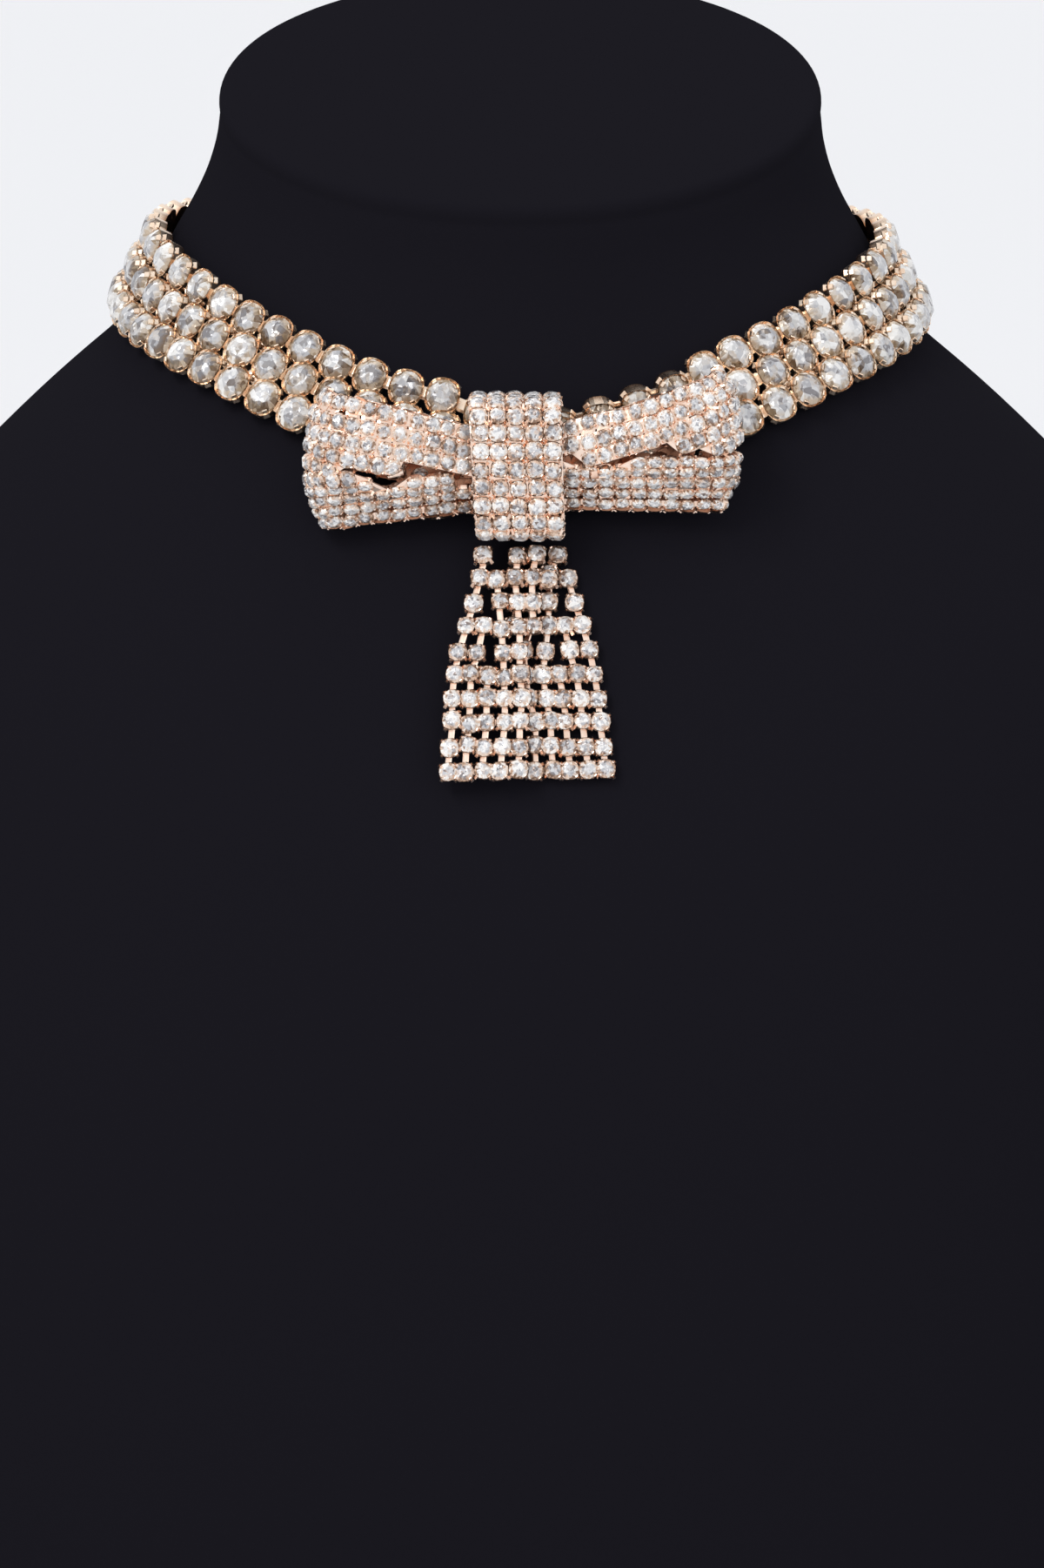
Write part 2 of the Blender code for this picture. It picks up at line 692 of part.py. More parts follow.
def main():
    clear_scene()
    necklace = new_collection("choker_necklace")
    cutters = new_collection("cutters")
    metal = finish("rose_gold_metal", ROSE_GOLD, 0.22, 1.0)
    stones = finish("crystal_in_cups", CRYSTAL, 0.12, 0.4)
    cover = finish("black_cover", BLACK_COVER, 0.75, 0.0)
    bust_tree = build_bust(cover, necklace)
    for name, level in (("choker_row_top", 1), ("choker_row_middle", 0), ("choker_row_bottom", -1)):
        build_row(name, level, stones, necklace)
    build_fastening(metal, necklace)
    back_y = bow_back_y(bust_tree)
    build_wing("bow_wing_left", -1, stones, necklace, cutters, back_y)
    build_wing("bow_wing_right", 1, stones, necklace, cutters, back_y)
    build_knot(stones, necklace, back_y)
    build_tail("bow_tail_left", -1, stones, necklace, bust_tree)
    build_tail("bow_tail_right", 1, stones, necklace, bust_tree)


main()
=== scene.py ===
# %% [markdown]
# # A rhinestone choker with a mesh bow, on a black neck bust
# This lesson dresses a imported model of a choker. The model gives plain solids in the right places: three
# rows of set stones round the neck, two loops and a knot of stone mesh, two pierced tails and the bust
# that wears them. Each step below makes the fine piece that takes a plain solid's place. All lengths are
# in metres, +Z is up, and the wearer looks towards -Y.

# %% Load the model
import json
from math import atan2, cos, pi, radians, sin
from random import Random

import bmesh
import bpy
from mathutils import Matrix, Vector
from mathutils.bvhtree import BVHTree

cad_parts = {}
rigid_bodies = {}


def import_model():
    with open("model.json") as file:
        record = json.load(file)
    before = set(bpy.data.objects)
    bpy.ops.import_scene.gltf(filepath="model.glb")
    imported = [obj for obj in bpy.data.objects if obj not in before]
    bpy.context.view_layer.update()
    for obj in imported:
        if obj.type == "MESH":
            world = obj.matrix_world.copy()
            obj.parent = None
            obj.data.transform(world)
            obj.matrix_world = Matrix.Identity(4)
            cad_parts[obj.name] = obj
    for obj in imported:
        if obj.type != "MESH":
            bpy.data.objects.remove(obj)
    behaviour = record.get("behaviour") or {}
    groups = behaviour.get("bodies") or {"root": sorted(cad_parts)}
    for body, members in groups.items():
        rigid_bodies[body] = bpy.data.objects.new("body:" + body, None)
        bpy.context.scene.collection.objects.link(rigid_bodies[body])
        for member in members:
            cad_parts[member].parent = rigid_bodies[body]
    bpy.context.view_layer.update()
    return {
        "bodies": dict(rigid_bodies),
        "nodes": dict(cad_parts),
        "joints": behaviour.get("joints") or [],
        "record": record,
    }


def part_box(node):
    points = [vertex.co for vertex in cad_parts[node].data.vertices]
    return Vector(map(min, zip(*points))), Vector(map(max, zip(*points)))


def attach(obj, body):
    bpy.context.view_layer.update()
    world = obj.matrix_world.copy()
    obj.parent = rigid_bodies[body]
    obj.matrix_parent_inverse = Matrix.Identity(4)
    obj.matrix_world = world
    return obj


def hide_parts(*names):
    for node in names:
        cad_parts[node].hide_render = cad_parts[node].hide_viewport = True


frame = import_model()

# %% [markdown]
# ## The camera
# The photo was taken with a long lens, a little above the bow. A long lens far away keeps the near and
# the far side of the choker almost the same size, so the focal length is given in pixels of the photo and
# turned into millimetres for the sensor. Knowing the lens also lets the script ask what lies behind any
# pixel, which is how the small stones are laid out further down.

# %% Place the camera
IMAGE_SIZE = (1200, 1802)
LENS_PIXELS = 9231
SENSOR = 36.0
PICTURE_CENTRE = (598, 901)
CAMERA_TILT = radians(8.0)
CAMERA_DISTANCE = 1.2
CAMERA_REACH = 50.0
CAMERA_TARGET = Vector((0.0, -0.040, 0.152))
FORWARD = Vector((0.0, cos(CAMERA_TILT), -sin(CAMERA_TILT)))
UPWARD = Vector((0.0, sin(CAMERA_TILT), cos(CAMERA_TILT)))
CAMERA_PLACE = CAMERA_TARGET - FORWARD * CAMERA_DISTANCE


def sight(pixel_x, pixel_y):
    """The direction of the view through a pixel of the photo."""
    across = (pixel_x - PICTURE_CENTRE[0]) / LENS_PIXELS
    rise = (PICTURE_CENTRE[1] - pixel_y) / LENS_PIXELS
    return (FORWARD + Vector((across, 0.0, 0.0)) + UPWARD * rise).normalized()


def add_object(name, data):
    """A new object in the scene."""
    added = bpy.data.objects.new(name, data)
    bpy.context.scene.collection.objects.link(added)
    return added


def add_camera():
    camera = add_object("camera", bpy.data.cameras.new("camera"))
    camera.data.sensor_fit = "VERTICAL"
    camera.data.sensor_height = SENSOR
    camera.data.lens = LENS_PIXELS / IMAGE_SIZE[1] * SENSOR
    camera.data.shift_x = (IMAGE_SIZE[0] / 2 - PICTURE_CENTRE[0]) / IMAGE_SIZE[1]
    camera.data.clip_end = CAMERA_REACH
    camera.location = CAMERA_PLACE
    camera.rotation_euler = (pi / 2 - CAMERA_TILT, 0.0, 0.0)
    bpy.context.scene.camera = camera
    return camera


camera = add_camera()
print("The lens is", round(camera.data.lens, 1), "mm on a", SENSOR, "mm sensor")

# %% [markdown]
# ## The studio
# The piece was shot in front of white paper. A pale floor that runs far back stands for it. Stones and
# polished metal only look like themselves when they have bright and dim things to mirror, so a soft
# all-round light is kept a little low, and a weak sun and three soft panels give the highlights.

# %% Floor, world and lights
PAPER = {"Base Color": (0.835, 0.84, 0.855, 1.0), "Roughness": 0.9, "Specular IOR Level": 0.1}
WORLD_COLOUR = (0.975, 0.98, 1.0)
WORLD_STRENGTH = 0.95
SUN_STRENGTH = 0.45
SUN_ANGLE = radians(14.0)
SUN_FROM = Vector((-0.60, -0.60, 1.0))
FLOOR_RADIUS = 20.0
# name, place, size, power, colour
LIGHT_PANELS = (
    ("key_panel", (-0.55, -0.95, 0.95), 0.45, 3.8, (1.0, 0.98, 0.95)),
    ("fill_panel", (0.85, -0.75, 0.55), 0.40, 0.5, (0.97, 0.98, 1.0)),
    ("top_panel", (0.10, 0.25, 1.10), 0.50, 1.0, (1.0, 1.0, 1.0)),
)
LIGHT_AIM = Vector((0.0, -0.02, 0.21))


def mesh_from(name, shape):
    """Turns a bmesh into a mesh and frees it."""
    mesh = bpy.data.meshes.new(name)
    shape.to_mesh(mesh)
    shape.free()
    return mesh


def new_material(name, settings):
    """A material whose shader has those settings."""
    material = bpy.data.materials.new(name)
    material.use_nodes = True
    nodes, links = material.node_tree.nodes, material.node_tree.links
    shader = nodes["Principled BSDF"]
    for key, value in settings.items():
        shader.inputs[key].default_value = value
    return material, shader, nodes, links


def add_floor():
    shape = bmesh.new()
    bmesh.ops.create_circle(shape, cap_ends=True, segments=64, radius=FLOOR_RADIUS)
    floor = add_object("paper_floor", mesh_from("paper_floor", shape))
    floor.data.materials.append(new_material("white_paper", PAPER)[0])


def add_world():
    world = bpy.data.worlds.new("soft_room")
    world.use_nodes = True
    background = world.node_tree.nodes["Background"]
    background.inputs["Color"].default_value = (*WORLD_COLOUR, 1.0)
    background.inputs["Strength"].default_value = WORLD_STRENGTH
    bpy.context.scene.world = world


def add_light(name, kind, toward, power):
    """A lamp that shines in one direction."""
    lamp = add_object(name, bpy.data.lights.new(name, kind))
    lamp.data.energy = power
    lamp.rotation_euler = toward.to_track_quat("-Z", "Y").to_euler()
    return lamp


add_floor()
add_world()
add_light("window", "SUN", -SUN_FROM, SUN_STRENGTH).data.angle = SUN_ANGLE
for name, place, size, power, colour in LIGHT_PANELS:
    panel = add_light(name, "AREA", LIGHT_AIM - Vector(place), power)
    panel.location = place
    panel.data.size, panel.data.color = size, colour
bpy.context.scene.view_settings.view_transform = "Standard"
print("Lit by the room and", len(LIGHT_PANELS), "panels")

# %% [markdown]
# ## Small tools
# Almost everything here is one small shape repeated along a path: a stone, its cup, a link. A template
# mesh is made once, then moved copies are gathered into one mesh per piece. Joined meshes render fast
# and export cleanly, and a copy can still be turned a little or given its own stretch of a pattern.

# %% Templates, frames and gathering
rng = Random(11)
PATTERN_REACH = 50
SAME_POINT = 1e-6


def finished_mesh(name, shape, material):
    """Turns a bmesh into a mesh of that material with its faces outwards."""
    bmesh.ops.recalc_face_normals(shape, faces=shape.faces)
    mesh = mesh_from(name, shape)
    mesh.materials.append(material)
    return mesh


def stand_on(place, along, outward):
    """A matrix whose Z points outward, and whose X follows along as closely as it can."""
    z = outward.normalized()
    x = (along - z * along.dot(z)).normalized()
    matrix = Matrix((x, z.cross(x), z)).transposed().to_4x4()
    matrix.translation = place
    return matrix


def set_piece(name, mesh, node):
    """Puts a finished mesh on the body as the piece that stands for a solid."""
    piece = add_object(name, mesh)
    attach(piece, "root")
    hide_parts(node)
    return piece


def gather(name, template, places, node, shift_pattern=False):
    """Joins a copy of the template at each place into one piece."""
    shape = bmesh.new()
    for place in places:
        copy = template.copy()
        copy.transform(place)
        if shift_pattern:
            move_u = rng.uniform(-PATTERN_REACH, PATTERN_REACH)
            move_v = rng.uniform(-PATTERN_REACH, PATTERN_REACH)
            for corner in copy.uv_layers["facets"].data:
                corner.uv = (corner.uv[0] + move_u, corner.uv[1] + move_v)
        shape.from_mesh(copy)
        bpy.data.meshes.remove(copy)
    mesh = mesh_from(name, shape)
    for material in template.materials:
        mesh.materials.append(material)
    set_piece(name, mesh, node)


def merged_copy(node):
    """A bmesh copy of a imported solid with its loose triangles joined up."""
    shape = bmesh.new()
    shape.from_mesh(frame["nodes"][node].data)
    bmesh.ops.transform(shape, matrix=frame["nodes"][node].matrix_world, verts=shape.verts)
    bmesh.ops.remove_doubles(shape, verts=shape.verts, dist=SAME_POINT)
    return shape


def tree_of(node):
    shape = merged_copy(node)
    tree = BVHTree.FromBMesh(shape)
    shape.free()
    return tree


# %% [markdown]
# ## The metal
# The settings are brass plated in rose gold. On the real piece the plating is bright on the rims and lies
# in shade between the cups, where metal only sees metal, so it looks deep orange there. Each template
# therefore carries a "depth" value for its points, and a painted shade in the foot's colour darkens the
# gold towards the foot of a cup. Fine noise in the roughness keeps the small faces from looking like
# plastic. The choker's rows get a little yellower gold than the bow.

# %% Rose gold
# bright, deep, and the painted shade's colour at the foot of a cup
ROSE_GOLD = ((0.97, 0.79, 0.67), (0.90, 0.64, 0.50), (0.42, 0.21, 0.13))
PALE_GOLD = ((0.94, 0.79, 0.64), (0.86, 0.64, 0.48), (0.38, 0.20, 0.11))
FOOT_SHADE_SHARPNESS = 3.0
CLOUD_SCALE = 420.0
CLOUD_DETAIL = 3.0
CLOUD_EDGES = (0.35, 0.65)
GOLD_ROUGHNESS = (0.16, 0.38)


def ramp(nodes, stops, smooth=True):
    """A colour ramp from pairs of (position, colour)."""
    stops = list(stops)
    node = nodes.new("ShaderNodeValToRGB")
    node.color_ramp.interpolation = "LINEAR" if smooth else "CONSTANT"
    elements = node.color_ramp.elements
    while len(elements) < len(stops):
        elements.new(0.5)
    for element, (position, colour) in zip(elements, stops):
        element.position = position
        element.color = (*colour, 1.0)
    return node


def feed(links, socket, source):
    """Joins a socket to a node's output, or gives it a plain value."""
    if isinstance(source, bpy.types.NodeSocket):
        links.new(source, socket)
    else:
        socket.default_value = source


def computed(nodes, links, kind, operation, *sources):
    """The result of a Math or VectorMath node."""
    node = nodes.new("ShaderNode" + kind)
    node.operation = operation
    for socket, source in zip(node.inputs, sources):
        feed(links, socket, source)
    return node.outputs[0]


def mapped(nodes, links, source, before=(0.0, 1.0), after=(0.0, 1.0)):
    """A value moved from one range to another."""
    node = nodes.new("ShaderNodeMapRange")
    node.inputs["From Min"].default_value, node.inputs["From Max"].default_value = before
    node.inputs["To Min"].default_value, node.inputs["To Max"].default_value = after
    links.new(source, node.inputs["Value"])
    return node.outputs["Result"]


def mixed(nodes, links, share, first, second):
    """Two colours mixed by a share."""
    node = nodes.new("ShaderNodeMix")
    node.data_type = "RGBA"
    for name, source in (("Factor", share), ("A", first), ("B", second)):
        feed(links, node.inputs[name], source)
    return node.outputs["Result"]


def carried(nodes, name):
    """A value that the points of a mesh carry."""
    node = nodes.new("ShaderNodeAttribute")
    node.attribute_name = name
    return node.outputs["Fac"]


def noise(nodes, links, scale, detail):
    """Fine noise that is fixed to the object."""
    node = nodes.new("ShaderNodeTexNoise")
    node.inputs["Scale"].default_value = scale
    node.inputs["Detail"].default_value = detail
    links.new(nodes.new("ShaderNodeTexCoord").outputs["Object"], node.inputs["Vector"])
    return node.outputs["Fac"]


def make_gold(name, bright, deep, foot):
    """Gold that wavers between bright and deep, with painted shade in the foot's colour by depth."""
    material, shader, nodes, links = new_material(name, {"Metallic": 1.0})
    cloud = noise(nodes, links, CLOUD_SCALE, CLOUD_DETAIL)
    colours = ramp(nodes, zip(CLOUD_EDGES, (deep, bright)))
    links.new(cloud, colours.inputs["Fac"])
    # painted shade: the foot's colour is mixed in more as the depth grows
    foot_shade = computed(nodes, links, "Math", "POWER", carried(nodes, "depth"), FOOT_SHADE_SHARPNESS)
    plating = mixed(nodes, links, foot_shade, colours.outputs["Color"], (*foot, 1.0))
    links.new(plating, shader.inputs["Base Color"])
    links.new(mapped(nodes, links, cloud, after=GOLD_ROUGHNESS), shader.inputs["Roughness"])
    return material


rose_gold = make_gold("rose_gold_plating", *ROSE_GOLD)
pale_gold = make_gold("pale_gold_plating", *PALE_GOLD)
print("Made", rose_gold.name, "and", pale_gold.name)

# %% [markdown]
# ## The crystal
# A rhinestone is clear glass with a mirror foil behind it. Looking in, one sees a mosaic of the pavilion
# facets: most are pale grey or white, some are beige from the gold around them, and a few go dark. Real
# refraction would need hundreds of light bounces per stone. Instead the mosaic is drawn as cells that lie
# in each stone's own plane, and every cell also tips the surface a little, so neighbouring cells catch
# different parts of the room and flash in turn. Cells near the rim take their colours from a warmer list,
# because there the stone mirrors its gold cup. A third pattern with cells far larger than a stone makes
# whole stones a little lighter or darker than others.

# %% Crystal
MIDDLE_SHADES = (
    (0.00, (0.22, 0.21, 0.22)),
    (0.24, (0.40, 0.40, 0.42)),
    (0.39, (0.52, 0.52, 0.54)),
    (0.56, (0.62, 0.62, 0.63)),
    (0.72, (0.84, 0.83, 0.82)),
)
ROSE_RIM_SHADES = (
    (0.00, (0.22, 0.12, 0.07)),
    (0.22, (0.46, 0.29, 0.19)),
    (0.36, (0.68, 0.49, 0.37)),
    (0.54, (0.76, 0.61, 0.50)),
    (0.70, (0.92, 0.88, 0.83)),
)
PALE_RIM_SHADES = (
    (0.00, (0.18, 0.11, 0.06)),
    (0.22, (0.37, 0.27, 0.17)),
    (0.36, (0.55, 0.44, 0.33)),
    (0.54, (0.66, 0.57, 0.47)),
    (0.70, (0.90, 0.88, 0.84)),
)
STONE_CELLS = 0.25
STONE_SHARE = 0.35
RIM_FROM, RIM_TO = 0.0, 0.6
RIM_WANDER = 0.9
FINE_SHARE = 0.3
FINE_SCALE = 2.3
FOILED_GLASS = {
    "Metallic": 0.2, "Roughness": 0.14, "IOR": 1.55, "Coat Weight": 0.3, "Coat Roughness": 0.03,
}


def cell_colours(nodes, links, pattern, scale):
    """A pattern of cells in the stone's plane, each with its own random colour."""
    cells = nodes.new("ShaderNodeTexVoronoi")
    cells.voronoi_dimensions = "2D"
    cells.inputs["Scale"].default_value = scale
    links.new(pattern.outputs["UV"], cells.inputs["Vector"])
    return cells.outputs["Color"]


def make_crystal(name, cells, tip, rim_shades, dimming):
    """Crystal whose mosaic has about that many cells across a stone, tipped and dimmed by that much."""
    material, shader, nodes, links = new_material(name, FOILED_GLASS)
    pattern = nodes.new("ShaderNodeUVMap")
    pattern.uv_map = "facets"
    coarse, fine, whole = (
        cell_colours(nodes, links, pattern, scale) for scale in (cells, cells * FINE_SCALE, STONE_CELLS))
    mosaic = mixed(nodes, links, FINE_SHARE, coarse, fine)
    chance, stone = nodes.new("ShaderNodeSeparateColor"), nodes.new("ShaderNodeSeparateColor")
    links.new(mosaic, chance.inputs["Color"])
    links.new(whole, stone.inputs["Color"])
    lighter = mapped(nodes, links, stone.outputs["Red"], after=(-STONE_SHARE / 2, STONE_SHARE / 2))
    shade = computed(nodes, links, "Math", "ADD", chance.outputs["Red"], lighter)
    rim = computed(
        nodes, links, "Math", "MULTIPLY_ADD", chance.outputs["Green"], RIM_WANDER, carried(nodes, "rim"))
    nearness = mapped(
        nodes, links, rim, before=(RIM_FROM + RIM_WANDER / 2, RIM_TO + RIM_WANDER / 2))
    both_shades = []
    for stops in (MIDDLE_SHADES, rim_shades):
        dimmed = [(place, [value * dimming for value in colour]) for place, colour in stops]
        colours = ramp(nodes, dimmed, smooth=False)
        links.new(shade, colours.inputs["Fac"])
        both_shades.append(colours.outputs["Color"])
    links.new(mixed(nodes, links, nearness, *both_shades), shader.inputs["Base Color"])
    centred = computed(nodes, links, "VectorMath", "SUBTRACT", mosaic, (0.5, 0.5, 0.5))
    push = computed(nodes, links, "VectorMath", "MULTIPLY", centred, (tip, tip, tip))
    surface = nodes.new("ShaderNodeNewGeometry").outputs["Normal"]
    tipped = computed(nodes, links, "VectorMath", "ADD", surface, push)
    links.new(computed(nodes, links, "VectorMath", "NORMALIZE", tipped), shader.inputs["Normal"])
    return material


big_crystal = make_crystal("choker_crystal", cells=4.5, tip=1.2, rim_shades=PALE_RIM_SHADES, dimming=0.90)
small_crystal = make_crystal("bow_crystal", cells=5.5, tip=0.9, rim_shades=ROSE_RIM_SHADES, dimming=1.0)
print("Made", big_crystal.name, "and", small_crystal.name)

# %% [markdown]
# ## A cut stone
# A round brilliant has a flat table, eight kites, eight stars and sixteen small facets that meet the
# girdle. Cutting those faces one by one would be tedious. Three rings of points have them all as their
# convex hull: eight points round the table, eight half-way down turned by half a step, and sixteen on the
# girdle. The hull operator finds the facets, and a limited dissolve joins the ones that lie flat.

# %% Stone template
TABLE_SHARE = 0.56
KITE_SHARE = 0.80
KITE_DROP = 0.50
STONE_FLATNESS = radians(1.0)


def add_ring(shape, count, radius, height, turn):
    made = bmesh.ops.create_circle(shape, segments=count, radius=radius)
    matrix = Matrix.Translation((0, 0, height)) @ Matrix.Rotation(turn, 4, "Z")
    bmesh.ops.transform(shape, matrix=matrix, verts=made["verts"])


def cut_stone(name, radius, base, girdle, crown, material, kites=8):
    """A stone whose girdle runs from base to base + girdle in height, with its crown above."""
    shape = bmesh.new()
    top = base + girdle
    add_ring(shape, kites, radius * TABLE_SHARE, top + crown, 0.0)
    add_ring(shape, kites, radius * KITE_SHARE, top + crown * KITE_DROP, pi / kites)
    add_ring(shape, 2 * kites, radius, top, 0.0)
    add_ring(shape, 2 * kites, radius, base, 0.0)
    bmesh.ops.convex_hull(shape, input=shape.verts)
    loose = [edge for edge in shape.edges if not edge.link_faces]
    bmesh.ops.delete(shape, geom=loose, context="EDGES")
    bmesh.ops.dissolve_limit(shape, angle_limit=STONE_FLATNESS, verts=shape.verts, edges=shape.edges)
    pattern = shape.loops.layers.uv.new("facets")
    rim = shape.verts.layers.float.new("rim")
    for vertex in shape.verts:
        vertex[rim] = max(vertex.co.xy.length / radius - TABLE_SHARE, 0.0) / (1 - TABLE_SHARE)
    for face in shape.faces:
        for loop in face.loops:
            loop[pattern].uv = loop.vert.co.xy / (2 * radius)
    return finished_mesh(name, shape, material)


BIG_RADIUS = 0.00244
BIG_GIRDLE_BASE = 0.00180
BIG_GIRDLE = 0.00030
BIG_CROWN = 0.00110
SMALL_RADIUS = 0.00123
SMALL_GIRDLE_BASE = 0.00105
SMALL_GIRDLE = 0.00018
SMALL_CROWN = 0.00050

big_stone = cut_stone("big_stone", BIG_RADIUS, BIG_GIRDLE_BASE, BIG_GIRDLE, BIG_CROWN, big_crystal)
small_stone = cut_stone(
    "small_stone", SMALL_RADIUS, SMALL_GIRDLE_BASE, SMALL_GIRDLE, SMALL_CROWN, small_crystal, kites=6)
print("A big stone has", len(big_stone.polygons), "faces, a small one", len(small_stone.polygons))

# %% [markdown]
# ## A setting
# A cup chain's cup is pressed from sheet: a tapered wall, open at the top, with claws that are pushed
# over the stone. The big cups of the choker are round with a notched rim, and drawn out a little towards
# their claws. The small cups of the bow are squares with rounded corners, so that they pack into a mesh.
# Either starts as a solid whose top is inset and pushed down, which leaves a thin wall and a seat. Each
# claw is a tapered block that leans in over the girdle.

# %% Cup templates
CLAW_TAPER = (0.80, 0.72, 1.0)
CLAW_ROUNDING = 0.25
CLAW_FOOT_SHARE = 0.5
SEAT_SHARE = 0.3


def add_claw(shape, angle, radius, foot, top, width, thickness, lean, rounded):
    """A claw that stands on the cup's wall and folds over the stone."""
    others = set(shape.verts)
    block = bmesh.ops.create_cube(shape, size=1.0)["verts"]
    bmesh.ops.scale(shape, vec=(thickness, width, top - foot), verts=block)
    upper = [vertex for vertex in block if vertex.co.z > 0]
    bmesh.ops.scale(shape, vec=CLAW_TAPER, verts=upper)
    if rounded:
        edges = {edge for vertex in block for edge in vertex.link_edges}
        bmesh.ops.bevel(
            shape, geom=list(edges), offset=thickness * CLAW_ROUNDING, segments=1, profile=0.5,
            affect="EDGES", material=-1)
    claw = [vertex for vertex in shape.verts if vertex not in others]
    place = (
        Matrix.Rotation(angle, 4, "Z")
        @ Matrix.Translation((radius, 0, (foot + top) / 2))
        @ Matrix.Rotation(-lean, 4, "Y"))
    bmesh.ops.transform(shape, matrix=place, verts=claw)


def hollow(shape, wall, seat):
    """Insets the top of a solid and pushes it down. Returns the vertices of the outer rim."""
    top = max(shape.faces, key=lambda face: face.calc_center_median().z)
    outer = list(top.verts)
    bmesh.ops.inset_region(shape, faces=[top], thickness=wall, use_even_offset=True)
    bmesh.ops.translate(shape, vec=(0, 0, -seat), verts=top.verts)
    return outer


def gold_mesh(name, shape, gold, rim_height, foot_height):
    """A gold template with painted shade by depth: 0 at the rim's height, 1 at the foot's."""
    depth = shape.verts.layers.float.new("depth")
    for vertex in shape.verts:
        share = (rim_height - vertex.co.z) / (rim_height - foot_height)
        vertex[depth] = min(max(share, 0.0), 1.0)
    return finished_mesh(name, shape, gold)


SQUARENESS = 0.07
NOTCH_INSET = (0.96, 0.96, 1.0)
BIG_CLAW = {"width": 0.00110, "lean": radians(25.0), "rounded": True}
BIG_CLAW_RISE = 0.00060
BIG_CLAW_THICKNESS = 1.8


def round_cup(name, sides, base, rim, height, wall, notch):
    """A round cup that is drawn out a little towards its four claws."""
    shape = bmesh.new()
    bmesh.ops.create_cone(
        shape, cap_ends=True, segments=sides, radius1=base, radius2=rim, depth=height,
        matrix=Matrix.Translation((0, 0, height / 2)))
    outer = hollow(shape, wall, height * SEAT_SHARE)
    raised = sorted(outer, key=lambda vertex: atan2(vertex.co.y, vertex.co.x))[::2]
    bmesh.ops.translate(shape, vec=(0, 0, notch), verts=raised)
    bmesh.ops.scale(shape, vec=NOTCH_INSET, verts=raised)
    for vertex in shape.verts:
        to_claw = (1 - cos(4 * atan2(vertex.co.y, vertex.co.x))) / 2
        vertex.co.xy *= 1 + SQUARENESS * to_claw
    for claw in range(4):
        add_claw(
            shape, pi / 4 + pi / 2 * claw, (rim - wall) * (1 + SQUARENESS / 2), height * CLAW_FOOT_SHARE,
            height + BIG_CLAW_RISE, thickness=wall * BIG_CLAW_THICKNESS, **BIG_CLAW)
    return gold_mesh(name, shape, pale_gold, height, 0.0)


SMALL_CLAW = {"width": 0.00046, "lean": radians(24.0), "rounded": False}
SMALL_CLAW_RISE = 0.00030
SMALL_CLAW_THICKNESS = 2.0
CORNER_CUT = 0.41


def square_cup(name, side, corner, taper, height, wall):
    """A tapered square cup with round corners and a claw in each."""
    shape = bmesh.new()
    bmesh.ops.create_cube(shape, size=1.0, matrix=Matrix.Translation((0, 0, 0.5)))
    bmesh.ops.scale(shape, vec=(side, side, height), verts=shape.verts)
    upright = [
        edge for edge in shape.edges if abs(edge.verts[0].co.z - edge.verts[1].co.z) > height / 2]
    bmesh.ops.bevel(
        shape, geom=upright, offset=corner, segments=2, profile=0.5, affect="EDGES", material=-1)
    lower = [vertex for vertex in shape.verts if vertex.co.z < height / 2]
    bmesh.ops.scale(shape, vec=(taper, taper, 1.0), verts=lower)
    hollow(shape, wall, height * SEAT_SHARE)
    reach = side / 2 * 2 ** 0.5 - corner * CORNER_CUT - wall
    for claw in range(4):
        add_claw(
            shape, pi / 4 + pi / 2 * claw, reach, height * CLAW_FOOT_SHARE, height + SMALL_CLAW_RISE,
            thickness=wall * SMALL_CLAW_THICKNESS, **SMALL_CLAW)
    return gold_mesh(name, shape, rose_gold, height, 0.0)


big_cup = round_cup(
    "big_cup", sides=24, base=0.00244, rim=0.00270, height=0.00212, wall=0.00020, notch=0.00024)
CUP_SIDE = 0.00250
small_cup = square_cup(
    "small_cup", CUP_SIDE, corner=0.00075, taper=0.88, height=0.00112, wall=0.00010)
print("A big cup has", len(big_cup.polygons), "faces, a small one", len(small_cup.polygons))

# %% [markdown]
# ## Links
# The cups of a chain are joined by short flat links. One template of unit length is stretched between
# two points, so the same shape serves the choker, the mesh of the bow and the open net of the tails.

# %% Link template
LINK_EDGE = 0.22


def unit_link(name, gold):
    """A block of unit size whose long edges are bevelled."""
    shape = bmesh.new()
    bmesh.ops.create_cube(shape, size=1.0)
    sides = [edge for edge in shape.edges if abs(edge.verts[0].co.x - edge.verts[1].co.x) > 0.5]
    bmesh.ops.bevel(
        shape, geom=sides, offset=LINK_EDGE, segments=1, profile=0.5, affect="EDGES", material=-1)
    # the painted shade darkens the link towards its underside
    return gold_mesh(name, shape, gold, rim_height=0.9, foot_height=-0.6)


link = unit_link("rose_link", rose_gold)
pale_link = unit_link("pale_link", pale_gold)


def span(start, end, outward, width, thickness):
    """A matrix that stretches the unit link from start to end."""
    along = end - start
    size = Matrix.Diagonal((along.length, width, thickness, 1.0))
    return stand_on((start + end) / 2, along, outward) @ size


# %% [markdown]
# ## The choker's three rows
# Each packed row already holds every stone's place: its table is the only flat octagon of its size. The
# script finds those tables, sorts them round the neck, and reads the row's direction from neighbours.
# The solids lie flat on the slope of the bust. In the photo the cups stand up a little more towards the
# viewer, so only a share of that lean is kept, and each table's middle stays where it is.

# %% Read the stones' places
ROWS = ("choker_row_top", "choker_row_middle", "choker_row_bottom")
TABLE_WIDTH = 0.0027
TABLE_FLATNESS = radians(0.5)
AREA_TOLERANCE = 0.05
SEAT_DEPTH = 0.0033
LEAN_KEPT = 0.55


